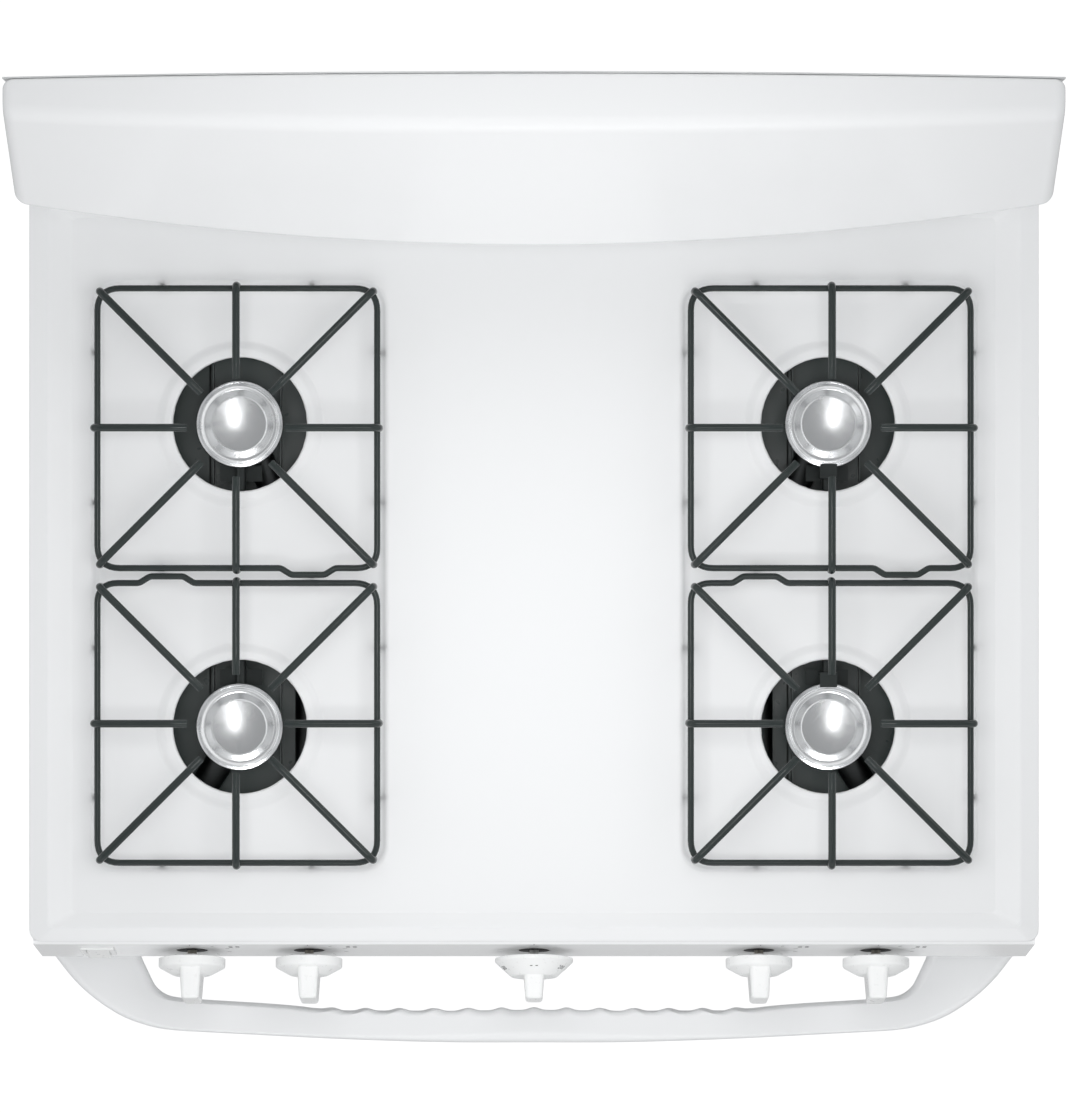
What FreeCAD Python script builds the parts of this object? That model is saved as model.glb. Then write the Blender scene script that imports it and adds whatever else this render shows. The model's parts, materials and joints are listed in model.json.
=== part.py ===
import FreeCAD, Part
import math
import os

# A 30-inch freestanding gas range. Millimetres, +Z up, front towards -Y.
# Origin: on the floor, under the middle of the overall box.

V = FreeCAD.Vector

# ---------------------------------------------------------------- driving dimensions
HALF_WIDTH = 381.0          # cooktop and backguard, half of 30 inches
BACK_Y = 362.0              # rear face of the backguard and of the screw heads
HANDLE_Y = -362.0           # foremost point of the door handle
RIM_Z = 914.0               # ridge of the cooktop, 36 inches
SHEET = 1.2                 # gauge of the formed steel sheet

# cooktop
TOP_FRONT_Y = -271.8        # front edge
TOP_REAR_Y = 296.0          # rear edge, under the backguard's lip
RIDGE_IN = 14.0             # ridge line, in from the side edges
RIDGE_IN_FRONT = 10.8       # ridge line, in from the front edge
SHOULDER_DROP = 6.0         # outer shoulder below the ridge
DECK_DROP = 4.0             # flat deck below the ridge
WELL_DROP = 12.6            # floor of the grate wells below the ridge
WELL_X = (111.3, 333.6)     # both wells, mirrored left and right
WELL_Y = (-218.0, 226.3)
WELL_CORNER = 19.0
WELL_DRAFT = 4.0            # how far a well's walls lean in
DISH_SLOPE = (18.0, 10.0)   # width of the fall from ridge to deck, sides and front
TOP_CORNER = 9.0            # radius of the cooktop's corners
SIDE_FLANGE = 28.0          # depth of the side and rear flanges below the ridge
FRONT_FLANGE = 7.5

# burners and grates
BURNER_X = 222.25
BURNER_Y = (-109.8, 118.8)  # front pair, rear pair
HOLE_R = 50.6
RING_R = (62.0, 57.0)       # foot and top of the raised ring round a burner hole
RING_RISE = 3.0
COLLAR_DEPTH = 5.0          # rolled lip of a burner hole
CAP_R = 32.9
HEAD_R = 30.0
HEAD_TOP = RIM_Z - 12.0
PORTS = 24
PORT_R = 1.4
TUBE_Z = RIM_Z - 55.0       # mixing tubes
TUBE_R = 11.0
MOUTH_Y = -224.0
MOUTH_R = 17.0
FLASH_Z = RIM_Z - 22.0      # carry-over tubes between burners
FLASH_R = 4.0
TAB_HALF = 6.5              # lighter tabs of the right-hand burners
TAB_Z = RIM_Z - 5.4
GRATE_X = 222.5
GRATE_Y = (-106.0, 115.0)
GRATE_HALF = 107.3
GRATE_WIRE_R = 2.4
FINGER_R = 2.95
GRATE_FRAME_H = 31.0        # wire centre above the well floor
GRATE_TOP_H = 51.0          # finger tops above the well floor
GRATE_JOG = 5.0             # offset stretch of the frame wire towards the other grate
JOG_X = (73.5, 65.5, 40.5, 32.5)
GRATE_CORNER = 17.0
GRATE_REACH = (109.4, 147.4)  # outer tips of the straight and diagonal fingers
FINGER_TIP = 38.9           # where a finger's inner end is rounded off
FOOT_OFF = 56.0             # feet, off the middle of each side
FOOT_R = 2.2

# sloped control panel
PANEL_HALF = 378.5
PANEL_TOP = (-274.0, RIM_Z - 9.0)
PANEL_BOTTOM = (-290.0, RIM_Z - 85.0)
KNOB_Z = RIM_Z - 45.0
VALVE_X = (260.7, 171.5)    # outer knobs work the front burners, inner ones the rear
SWITCH_X = -332.0
STEM_R = 3.5
BORE_R = 3.55               # running fit on the stem
STEM_HOLE_R = 12.0          # holes in the panel
PANEL_REAR = -246.0
PANEL_EDGE = 4.0            # rounding of the panel's long edges
SWITCH_OPENING = (21.0, 31.0)
ROCKER = (17.4, 26.0, 8.0)
ROCKER_TILT = 8.0
ROCKER_PIN_Z = -4.0         # pin, below the panel's face
ROCKER_PIN_R = 1.5

# body
BODY_HALF = 378.6
FRAME_Y = -243.0            # front face of the front frame
SHELL_BACK_Y = 360.0        # rear face of the back panel
BODY_BOTTOM = 27.0
CAVITY_HALF = 305.0
CAVITY_BACK = 237.0
CAVITY_Z = (338.0, 768.0)
LINER_BOTTOM = 262.0
INSULATION = 38.0
BOX_HALF = 372.0            # burner box
BOX_Y = (-228.0, 276.0)     # its rear wall clears the cooktop's rear flange as that swings up
BOX_FLOOR_Z = 832.0
BOX_TOP_Z = RIM_Z - 17.0
BOX_HOLE_R = 19.0
CHANNEL_HALF = 26.4
CHANNEL_Y = (-190.0, 200.0)
CHANNEL_SHIFT = 2.0         # right of the burners' centre line
CHANNEL_H = 13.0

# gas train
MANIFOLD_Y = -255.0
MANIFOLD_Z = 844.0
MANIFOLD_R = 10.7
MANIFOLD_HALF = 296.0
PIPE_GAP = 0.02             # between a tap's saddle and the pipe
SUPPLY_X = 310.0
SUPPLY_Z = 816.0
SUPPLY_R = 6.0
OVEN_TUBE_R = 4.0
RISER_TUBE_Y = 318.0        # tubes behind the oven
INLET_R = 9.5
INLET_Z = 650.0
INLET_DEPTH = 15.0

# rear fittings, legs and hinge
CORD_X = -300.0
CORD_Z = 620.0
CORD_HOLE_R = 5.5
GLAND_HOLE_R = 11.0
INLET_HOLE_R = 22.0
LEG_X = 340.0
LEG_Y = (-205.0, 325.0)
STUD_R = 5.0
STUD_HOLE_R = 5.06
HINGE_X = (329.0, 333.0, 335.0, 339.0)  # frame lug, then door arm
HINGE_PIN_R = 4.0

# oven fittings
OVEN_BURNER_Z = 300.0
LAMP_X = -230.0
LAMP_Z = 700.0
LAMP_HOLE_R = 17.0
DUCT_Z = (718.0, 752.0)

# door and drawer
DOOR_HALF = 375.0
DOOR_FRONT_Y = -290.0
DOOR_Z = (240.0, 812.0)
HINGE_Y = -268.0
HINGE_Z = 246.0
WINDOW_HALF = 190.0
WINDOW_Z = (470.0, 680.0)
HANDLE_Z = (747.0, 781.0)
DRAWER_FRONT_Z = (55.0, 218.0)
DRAWER_HALF = 335.0
DRAWER_BACK_Y = 200.0
DRAWER_BOX_Z = (62.0, 190.0)
PAN_Y = (-170.0, 150.0)
PAN_HALF = 200.0
LINER_Y = -250.0            # flat of the door's inner pan
PLUG_Y = -238.0             # its raised field
PLUG_HALF = 286.0
PLUG_Z = (358.0, 750.0)
PANE_MARGIN = 16.0          # how far the panes run past their openings
PANE_T = 4.0
EDGE_R = 5.0                # rounding of the door's and drawer's front edges

# door handle in plan: right half of the outer edge, then of the inner edge
HANDLE_OUTER = [(378.0, -290.0), (372.7, -296.9), (361.9, -310.4), (350.1, -322.1), (334.8, -333.8),
                (318.5, -342.9), (297.7, -349.6), (279.7, -352.1), (262.7, -353.1), (223.4, -355.2),
                (145.7, -359.2), (68.0, -361.7), (0.0, HANDLE_Y)]
HANDLE_INNER = [(311.0, -290.0), (308.1, -296.9), (304.1, -305.4), (299.1, -315.4), (294.2, -321.6),
                (287.0, -326.2), (277.9, -328.2), (259.3, -329.6), (211.2, -332.4), (187.2, -333.8)]
HANDLE_ROUND = 7.0
SCALLOP_PITCH = 26.3
SCALLOP_DEPTH = 1.4
SCALLOP_Y = -337.4
SCALLOPS = 14               # each side of the middle, hollows and crests counted alike

# racks and their ledges
LEDGE_TOPS = (395.0, 455.0, 515.0, 575.0, 635.0)
RACK_LEDGES = {"oven_rack_lower": 395.0, "oven_rack_upper": 575.0}
RACK_Y = (-225.0, 215.0)
RACK_HALF = 298.0
RACK_WIRE_R = 3.2
RACK_BAR_R = 1.9
RACK_BARS = 21
RACK_STOP = (200.0, 22.0, 2.2)  # half width, height and wire radius of the rear stop

# backguard, as (middle, end) values of parabolas along the width
LIP_Y = (245.2, 276.7)
CROWN_Y = (321.9, 334.7)
CROWN_Z = (RIM_Z + 231.0, RIM_Z + 188.0)
LIP_Z = RIM_Z + 98.0
GUARD_FLOOR_Z = RIM_Z + 88.0
GUARD_SHEET = 1.5
RISER_Y = 300.0
RISER_SLOTS = 12

# worked out
WELL_FLOOR = RIM_Z - WELL_DROP
PANEL_TILT = math.atan2(PANEL_TOP[0] - PANEL_BOTTOM[0], PANEL_TOP[1] - PANEL_BOTTOM[1])


# ---------------------------------------------------------------- helpers
def box(x0, x1, y0, y1, z0, z1):
    """A block between two corners."""
    return Part.makeBox(x1 - x0, y1 - y0, z1 - z0, V(x0, y0, z0))


def rod(start, end, r):
    """A round bar between two points."""
    a = V(*start)
    d = V(*end) - a
    return Part.makeCylinder(r, d.Length, a, d)


def fuse(shapes):
    """One body out of several that overlap or meet."""
    return shapes[0].multiFuse(list(shapes[1:])).removeSplitter()


def face_of(points):
    """A flat face from its corner points."""
    vectors = [V(*p) for p in points]
    return Part.Face(Part.makePolygon(vectors + [vectors[0]]))


def prism_x(points_yz, x0, x1):
    """A YZ outline carried along X."""
    return face_of([(x0, y, z) for y, z in points_yz]).extrude(V(x1 - x0, 0, 0))


def rounded_wire(x0, x1, y0, y1, r, z):
    """A rounded rectangle at height z, as one wire."""
    k = r * (1 - math.sqrt(0.5))
    corners = [
        ((x1 - r, y0, z), (x1 - k, y0 + k, z), (x1, y0 + r, z)),
        ((x1, y1 - r, z), (x1 - k, y1 - k, z), (x1 - r, y1, z)),
        ((x0 + r, y1, z), (x0 + k, y1 - k, z), (x0, y1 - r, z)),
        ((x0, y0 + r, z), (x0 + k, y0 + k, z), (x0 + r, y0, z)),
    ]
    edges = []
    for i, (a, m, b) in enumerate(corners):
        edges.append(Part.Arc(V(*a), V(*m), V(*b)).toShape())
        edges.append(Part.LineSegment(V(*b), V(*corners[(i + 1) % 4][0])).toShape())
    return Part.Wire(edges)


def tapered(low, high):
    """A solid between two rounded rectangles, each (x0, x1, y0, y1, r, z)."""
    return Part.makeLoft([rounded_wire(*low), rounded_wire(*high)], True, True)


def pan(x0, x1, y0, y1, z0, z1, t):
    """An open-topped sheet box."""
    return box(x0, x1, y0, y1, z0, z1).cut(box(x0 + t, x1 - t, y0 + t, y1 - t, z0 + t, z1 + t))


def turned(profile, centre):
    """A turned solid: (radius, height) points swung round +Z at a centre."""
    x, y, z = centre
    face = face_of([(x + r, y, z + h) for r, h in profile])
    return face.revolve(V(x, y, z), V(0, 0, 1), 360)


def tube_run(points, r):
    """A bent tube drawn as straight bars with round elbows."""
    bars = [rod(a, b, r) for a, b in zip(points, points[1:])]
    elbows = [Part.makeSphere(r, V(*p)) for p in points[1:-1]]
    return fuse(bars + elbows)


def both_sides(shape):
    """A shape and its mirror image across the middle plane."""
    return [shape, shape.mirror(V(0, 0, 0), V(1, 0, 0))]


def along_width(middle_end, x):
    """Value at x of a parabola that has its middle value at x = 0."""
    middle, end = middle_end
    return middle + (end - middle) * (x / HALF_WIDTH) ** 2


def panel_y(z):
    """Where the control panel's face is at height z."""
    return PANEL_TOP[0] - math.tan(PANEL_TILT) * (PANEL_TOP[1] - z)


def on_panel(shape, x):
    """Stand a shape drawn round +Z on the panel's face at the knobs' height."""
    turned_up = 90 - math.degrees(PANEL_TILT)
    placed = shape.copy()
    placed.rotate(V(0, 0, 0), V(1, 0, 0), turned_up)
    placed.translate(V(x, panel_y(KNOB_Z), KNOB_Z))
    return placed


def burner_centres():
    """Side sign, row, x and y of the four burners."""
    for side in (-1, 1):
        for row in (0, 1):
            yield side, row, side * BURNER_X, BURNER_Y[row]


# ---------------------------------------------------------------- cooktop
def cooktop_form(t):
    """Everything below the cooktop's upper face, sunk and shrunk by t."""
    x = HALF_WIDTH - t
    y0 = TOP_FRONT_Y + t
    y1 = TOP_REAR_Y - t
    shoulder = RIM_Z - SHOULDER_DROP - t
    low = (-x, x, y0, y1, TOP_CORNER, RIM_Z - SIDE_FLANGE - t)
    edge = (-x, x, y0, y1, TOP_CORNER, shoulder)
    skirt = tapered(low, edge)
    ridge = (-x + RIDGE_IN, x - RIDGE_IN, y0 + RIDGE_IN_FRONT, y1 - RIDGE_IN_FRONT, 5, RIM_Z - t)
    crown = tapered(edge, ridge)
    form = skirt.fuse(crown)
    dx = HALF_WIDTH - RIDGE_IN - 1 + t
    deck_y0 = TOP_FRONT_Y + RIDGE_IN_FRONT + 1 - t
    deck_y1 = TOP_REAR_Y - RIDGE_IN_FRONT - 1 + t
    slope, slope_front = DISH_SLOPE
    dish = tapered(
        (-dx + slope, dx - slope, deck_y0 + slope_front, deck_y1 - slope_front, 8, RIM_Z - DECK_DROP - t),
        (-dx, dx, deck_y0, deck_y1, 5, RIM_Z - t),
    )
    form = form.cut(dish)
    for side in (-1, 1):
        xa, xb = sorted((side * (WELL_X[0] - t), side * (WELL_X[1] + t)))
        ya, yb = WELL_Y[0] - t, WELL_Y[1] + t
        draft = WELL_DRAFT
        well = tapered(
            (xa + draft, xb - draft, ya + draft, yb - draft, WELL_CORNER - draft + t, WELL_FLOOR - t),
            (xa, xb, ya, yb, WELL_CORNER + t, RIM_Z - DECK_DROP - t),
        )
        form = form.cut(well)
    return form


def cooktop():
    """The enamelled top: one stamped sheet with two wells and four collared holes."""
    sheet = cooktop_form(0).cut(cooktop_form(SHEET))
    collar_top = WELL_FLOOR + RING_RISE
    foot, top = RING_R
    for _, _, x, y in burner_centres():
        ring = Part.makeCone(foot, top, RING_RISE, V(x, y, WELL_FLOOR))
        hollow = Part.makeCone(foot - SHEET, top - SHEET, RING_RISE, V(x, y, WELL_FLOOR - SHEET))
        sheet = sheet.fuse(ring).cut(hollow)
        collar = Part.makeCylinder(HOLE_R + SHEET, COLLAR_DEPTH, V(x, y, collar_top - COLLAR_DEPTH))
        sheet = sheet.fuse(collar)
        sheet = sheet.cut(Part.makeCylinder(HOLE_R, 40, V(x, y, collar_top - 20)))
    # the front flange is short, so that the control panel tucks under it
    front_notch = box(-400, 400, TOP_FRONT_Y - 10, FRAME_Y + 4, RIM_Z - 60, RIM_Z - FRONT_FLANGE)
    return sheet.cut(front_notch).removeSplitter()


# ---------------------------------------------------------------- grates
def grate_finger(reach):
    """One finger along +X from the grate's middle; reach is the radius of its outer tip."""
    top = GRATE_TOP_H - FINGER_R
    outer = reach - FINGER_R
    points = [
        (FINGER_TIP, 0, top - 1.0),
        (FINGER_TIP + 7.1, 0, top),
        (outer - 9.0, 0, top),
        (outer - 2.5, 0, top - 3.5),
        (outer, 0, GRATE_FRAME_H + 1.0),
    ]
    ends = [Part.makeSphere(FINGER_R, V(*points[0])), Part.makeSphere(FINGER_R, V(*points[-1]))]
    return fuse([tube_run(points, FINGER_R)] + ends)


def grate_frame_path():
    """Corner points of the frame's wire, with the offset stretch on the +Y side."""
    h = GRATE_HALF - GRATE_WIRE_R
    z = GRATE_FRAME_H
    ramp_out, jog_out, jog_in, ramp_in = JOG_X
    return [
        (h, -h, z), (h, h, z),
        (ramp_out, h, z), (jog_out, h + GRATE_JOG, z), (jog_in, h + GRATE_JOG, z), (ramp_in, h, z),
        (-h, h, z), (-h, -h, z), (h, -h, z),
    ]


def grate_frame():
    """The frame's wire: straight runs, quarter bends at the corners, and round joints at the offset."""
    square = GRATE_HALF - GRATE_WIRE_R
    pieces = []
    path = grate_frame_path()
    for a, b in zip(path, path[1:]):
        d = V(*b) - V(*a)
        d.normalize()
        start_cut = GRATE_CORNER if abs(a[0]) == square and abs(a[1]) == square else 0
        end_cut = GRATE_CORNER if abs(b[0]) == square and abs(b[1]) == square else 0
        start = V(*a) + d * start_cut
        end = V(*b) - d * end_cut
        pieces.append(rod(start, end, GRATE_WIRE_R))
        if not start_cut:
            pieces.append(Part.makeSphere(GRATE_WIRE_R, start))
    c = square - GRATE_CORNER
    for turn, sx, sy in ((0, 1, 1), (90, -1, 1), (180, -1, -1), (270, 1, -1)):
        bend = Part.makeTorus(GRATE_CORNER, GRATE_WIRE_R, V(sx * c, sy * c, GRATE_FRAME_H))
        keep = box(0, 40, 0, 40, 0, 60)
        keep.rotate(V(0, 0, 0), V(0, 0, 1), turn)
        keep.translate(V(sx * c, sy * c, 0))
        pieces.append(bend.common(keep))
    return pieces


def grate_feet():
    """The eight feet, two to a side; the one under the offset stretch stands out with it."""
    inset = GRATE_HALF - GRATE_WIRE_R - 1.5
    places = []
    for s in (-1, 1):
        for t in (-1, 1):
            outset = GRATE_JOG if (s, t) == (1, 1) else 0
            places.append((s * inset, t * FOOT_OFF))
            places.append((t * FOOT_OFF, s * inset + outset))
    return [rod((x, y, 0), (x, y, GRATE_FRAME_H), FOOT_R) for x, y in places]


def grate():
    """A wire grate standing on z = 0, its offset stretch on the +Y side at positive X."""
    fingers = []
    for i in range(8):
        finger = grate_finger(GRATE_REACH[i % 2])
        finger.rotate(V(0, 0, 0), V(0, 0, 1), 45 * i)
        fingers.append(finger)
    return fuse(grate_frame() + fingers + grate_feet())


def grates():
    """The four grates, front ones turned half round from the rear ones."""
    base = grate()
    names = {(-1, 0): "left_front", (-1, 1): "left_rear", (1, 0): "right_front", (1, 1): "right_rear"}
    made = {}
    for (side, row), name in names.items():
        # the offset stretch faces the other grate: forwards on a rear grate
        turn = 0 if row == 0 else 180
        placed = base.mirror(V(0, 0, 0), V(1, 0, 0))
        placed.rotate(V(0, 0, 0), V(0, 0, 1), turn)
        placed.translate(V(side * GRATE_X, GRATE_Y[row], WELL_FLOOR))
        made["grate_" + name] = placed
    return made


# ---------------------------------------------------------------- surface burners
def burner_head():
    """The drilled burner head, standing round the origin with its top at z = 0."""
    r = HEAD_R
    profile = [(0, 0), (r - 1.5, 0), (r, -1.5), (r, -20), (16, -36), (16, -52), (0, -52)]
    head = turned(profile, (0, 0, 0))
    for i in range(PORTS):
        a = 2 * math.pi * i / PORTS
        outwards = V(math.cos(a), math.sin(a), 0)
        head = head.cut(Part.makeCylinder(PORT_R, 9, outwards * (r - 6) + V(0, 0, -7), outwards))
    return head


def surface_burners():
    """Four burners, each with its mixing tube running forwards to its valve."""
    head = burner_head()
    made = []
    for side, row, x, y in burner_centres():
        valve_x = side * VALVE_X[row]
        placed = head.copy()
        placed.translate(V(x, y, HEAD_TOP))
        bend_y = y - (60, 105)[row]
        route = [(x, y, TUBE_Z), (valve_x, bend_y, TUBE_Z), (valve_x, MOUTH_Y + 5, TUBE_Z)]
        mouth = Part.makeCone(MOUTH_R, TUBE_R, 26, V(valve_x, MOUTH_Y, TUBE_Z), V(0, 1, 0))
        bore = Part.makeCone(MOUTH_R - 1.5, TUBE_R - 1.5, 24, V(valve_x, MOUTH_Y, TUBE_Z), V(0, 1, 0))
        made.append(fuse([placed, tube_run(route, TUBE_R), mouth]).cut(bore))
    return made


def burner_caps():
    """Four stepped caps on the heads."""
    profile = [
        (0, 11.4), (12, 11.2), (20.4, 10.6), (21.3, 10.9), (21.6, 10.2), (26.1, 8.2), (29.1, 8.0),
        (29.7, 6.3), (30.6, 6.3), (CAP_R - 0.8, 5.9), (CAP_R, 5.2), (CAP_R, 4.2), (27.5, 4.2), (27.5, 0), (0, 0),
    ]
    return [turned(profile, (x, y, HEAD_TOP)) for _, _, x, y in burner_centres()]


def flash_tubes():
    """A carry-over tube between the burners of each side, with its lugs and lighter tabs."""
    z = FLASH_Z
    lug_z = z - FLASH_R - 1.2
    y0 = BURNER_Y[0] + HEAD_R + 1
    y1 = BURNER_Y[1] - HEAD_R - 1
    middle = (y0 + y1) / 2
    made = []
    for side in (-1, 1):
        x = side * BURNER_X
        parts = [rod((x, y0, z), (x, y1, z), FLASH_R)]
        parts.append(box(x - 9, x + 9, middle - 12, middle + 12, z - 16, z - 2))
        for y, away in ((y0, 1), (y1, -1)):
            ya, yb = sorted((y, y + away * 12))
            parts.append(box(x - 16, x + 16, ya, yb, lug_z, z - FLASH_R))
            parts.append(box(x - FLASH_R, x + FLASH_R, ya, yb, lug_z, z))
            if side == 1:
                ya, yb = sorted((y - away, y + away * 10))
                parts.append(box(x - TAB_HALF, x + TAB_HALF, ya, yb, TAB_Z, TAB_Z + 1))
                ya, yb = sorted((y + away * 9, y + away * 10))
                parts.append(box(x - TAB_HALF, x + TAB_HALF, ya, yb, lug_z, TAB_Z + 1))
        made.append(fuse(parts))
    return made


def burner_box():
    """The black tray under the cooktop, with the two channels that carry the burners."""
    y0, y1 = BOX_Y
    tray = pan(-BOX_HALF, BOX_HALF, y0, y1, BOX_FLOOR_Z, BOX_TOP_Z, SHEET)
    floor = BOX_FLOOR_Z + SHEET
    half = CHANNEL_HALF
    ya, yb = CHANNEL_Y
    channels = []
    for side in (-1, 1):
        for vx in VALVE_X:
            tray = tray.cut(rod((side * vx, y0 - 5, TUBE_Z), (side * vx, y0 + 5, TUBE_Z), BOX_HOLE_R))
        x = side * BURNER_X + CHANNEL_SHIFT
        outer = box(x - half, x + half, ya, yb, floor, floor + CHANNEL_H)
        hollow = box(x - half + SHEET, x + half - SHEET, ya - 1, yb + 1, floor + SHEET, floor + CHANNEL_H + 1)
        channels.append(outer.cut(hollow))
    return [tray] + channels


# ---------------------------------------------------------------- gas train
def manifold_pipe():
    """The gas pipe behind the control panel, capped at its left end."""
    end = MANIFOLD_HALF
    pipe = rod((-end, MANIFOLD_Y, MANIFOLD_Z), (end, MANIFOLD_Y, MANIFOLD_Z), MANIFOLD_R)
    cap = rod((-end - 6, MANIFOLD_Y, MANIFOLD_Z), (-end + 6, MANIFOLD_Y, MANIFOLD_Z), MANIFOLD_R + 1.2)
    return fuse([pipe, cap])


def valve_stem_hole(depth):
    """The blind hole that a stem slides in, drawn on the knob's axis."""
    return Part.makeCylinder(BORE_R, depth, V(0, 0, -10 - depth))


def gas_valves():
    """Four tap bodies on the pipe, each with a brass outlet aimed into a mixing tube."""
    made = []
    saddle_r = MANIFOLD_R + PIPE_GAP
    pipe = rod((-HALF_WIDTH, MANIFOLD_Y, MANIFOLD_Z), (HALF_WIDTH, MANIFOLD_Y, MANIFOLD_Z), saddle_r)
    for side in (-1, 1):
        for vx in VALVE_X:
            x = side * vx
            barrel = on_panel(Part.makeCylinder(9.5, 24, V(0, 0, -34)), x)
            neck = rod((x, MANIFOLD_Y, MANIFOLD_Z), (x, MANIFOLD_Y, MANIFOLD_Z + 18), 6.5)
            outlet = rod((x, -252, TUBE_Z), (x, -232, TUBE_Z), 5.5)
            body = fuse([barrel, neck.cut(pipe), outlet.cut(pipe)])
            made.append(body.cut(on_panel(valve_stem_hole(18), x)).cut(pipe))
    return made


def thermostat_valve():
    """The oven thermostat body with the fixed shaft that its dial turns on."""
    body = box(-28, 28, -268, -244, 857, 893)
    shaft = on_panel(Part.makeCylinder(STEM_R, 40, V(0, 0, -14)), 0)
    neck = rod((0, MANIFOLD_Y, MANIFOLD_Z), (0, MANIFOLD_Y, 860), 7.5)
    pipe = rod((-20, MANIFOLD_Y, MANIFOLD_Z), (20, MANIFOLD_Y, MANIFOLD_Z), MANIFOLD_R + PIPE_GAP)
    return fuse([body, shaft, neck]).cut(pipe)


def gas_tubes():
    """The supply tube to the manifold, the oven tube, and the oven's safety valve."""
    x, rear, z = SUPPLY_X, RISER_TUBE_Y, SUPPLY_Z
    supply = tube_run(
        [(x, rear, 676), (x, rear, z), (x, -235, z), (x, -235, MANIFOLD_Z), (x, MANIFOLD_Y, MANIFOLD_Z),
         (MANIFOLD_HALF + 0.1, MANIFOLD_Y, MANIFOLD_Z)], SUPPLY_R)
    low = OVEN_BURNER_Z
    oven = tube_run(
        [(-22, -243.9, 872), (-22, -236, 872), (-22, -236, z), (-130, -236, z), (-130, rear, z),
         (-130, rear, low), (-26.1, rear, low)], OVEN_TUBE_R)
    valve = box(-26, 26, rear - 20, rear + 22, low - 20, low + 22)
    spud = rod((0, 290, low), (0, 298.5, low), 5.0)
    return [supply, oven, fuse([valve, spud])]


def pressure_regulator():
    """The regulator, with the female pipe thread that the house line screws into."""
    x, y = SUPPLY_X, RISER_TUBE_Y
    body = Part.makeCylinder(30, 30, V(x, y, 632))
    bonnet = Part.makeCone(30, 14, 12, V(x, y, 662))
    tip = Part.makeCylinder(9, 2, V(x, y, 674))
    mouth = BACK_Y - 0.5
    boss = rod((x, y + 12, INLET_Z), (x, mouth, INLET_Z), 15)
    thread = rod((x, mouth - INLET_DEPTH, INLET_Z), (x, mouth + 5, INLET_Z), INLET_R)
    return fuse([body, bonnet, tip, boss]).cut(thread)


# ---------------------------------------------------------------- body
def side_panel():
    """The right side panel: a sheet with folds along its front, rear and bottom."""
    x = BODY_HALF
    inner = x - SHEET
    z1 = RIM_Z - 9.5
    skin = box(inner, x, FRAME_Y, SHELL_BACK_Y - SHEET, BODY_BOTTOM, z1)
    front = box(x - 18, x, FRAME_Y + 2.6, FRAME_Y + 2.6 + SHEET, BODY_BOTTOM, 826)
    rear = box(x - 14, x, SHELL_BACK_Y - 3 * SHEET, SHELL_BACK_Y - 2 * SHEET, BODY_BOTTOM, z1)
    # the panel steps down under the cooktop's rounded rear corner
    corner = box(x - 5, x + 1, TOP_REAR_Y - 14, TOP_REAR_Y + 3, RIM_Z - SIDE_FLANGE - 2, RIM_Z)
    return fuse([skin.cut(corner), front, rear])


def back_panel():
    """The rear sheet, with its raised field and the openings for gas and mains."""
    y = SHELL_BACK_Y
    sheet = box(-BODY_HALF + SHEET + 0.2, BODY_HALF - SHEET - 0.2, y - SHEET, y, BODY_BOTTOM, RIM_Z - 10)
    for z in (150, 330, 510):
        rib = prism_x([(y - 4.2, z - 8), (y - SHEET, z - 14), (y - SHEET, z + 14), (y - 4.2, z + 8)], -300, 190)
        hollow = prism_x([(y - 3, z - 8), (y + 1, z - 15), (y + 1, z + 15), (y - 3, z + 8)], -299, 189)
        sheet = sheet.fuse(rib).cut(hollow)
    sheet = sheet.cut(rod((SUPPLY_X, y - 20, INLET_Z), (SUPPLY_X, y + 5, INLET_Z), INLET_HOLE_R))
    return sheet.cut(rod((CORD_X, y - 20, CORD_Z), (CORD_X, y + 5, CORD_Z), GLAND_HOLE_R))


def cord_gland():
    """The bush that the mains cord passes through."""
    y = SHELL_BACK_Y
    flange = rod((CORD_X, y, CORD_Z), (CORD_X, y + 1.9, CORD_Z), 14)
    barrel = rod((CORD_X, y - 12, CORD_Z), (CORD_X, y, CORD_Z), GLAND_HOLE_R - 0.1)
    clip = rod((CORD_X, y - 14, CORD_Z), (CORD_X, y - SHEET - 0.1, CORD_Z), 13).cut(
        rod((CORD_X, y - 5, CORD_Z), (CORD_X, y, CORD_Z), 13.5))
    hole = rod((CORD_X, y - 20, CORD_Z), (CORD_X, y + 5, CORD_Z), CORD_HOLE_R)
    return fuse([flange, barrel, clip]).cut(hole)


def base_frame():
    """The bottom pan with the four leg bushes and the two drawer rails."""
    x = BODY_HALF - SHEET - 0.2
    floor = pan(-x, x, FRAME_Y + 5, SHELL_BACK_Y - 5, BODY_BOTTOM, BODY_BOTTOM + 20, SHEET)
    bushes = []
    rails = []
    for side in (-1, 1):
        for y in LEG_Y:
            bushes.append(rod((side * LEG_X, y, BODY_BOTTOM), (side * LEG_X, y, BODY_BOTTOM + 22), 9))
        xa, xb = sorted((side * 316, side * 328))
        rails.append(box(xa, xb, FRAME_Y + 7, DRAWER_BACK_Y, BODY_BOTTOM, 61.4))
    frame = fuse([floor] + bushes + rails)
    for side in (-1, 1):
        for y in LEG_Y:
            frame = frame.cut(rod((side * LEG_X, y, 0), (side * LEG_X, y, 80), STUD_HOLE_R))
    return frame


def leg(x, y):
    """A levelling leg: a wide foot, a hexagon and a stud that screws into the base."""
    foot = Part.makeCone(17, 15, 8, V(x, y, 0))
    hexagon = [(x + 9 * math.cos(math.radians(60 * i)), y + 9 * math.sin(math.radians(60 * i)), 8)
               for i in range(6)]
    nut = face_of(hexagon).extrude(V(0, 0, 12))
    stud = rod((x, y, 18), (x, y, 56), STUD_R)
    return fuse([foot, nut, stud])


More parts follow.
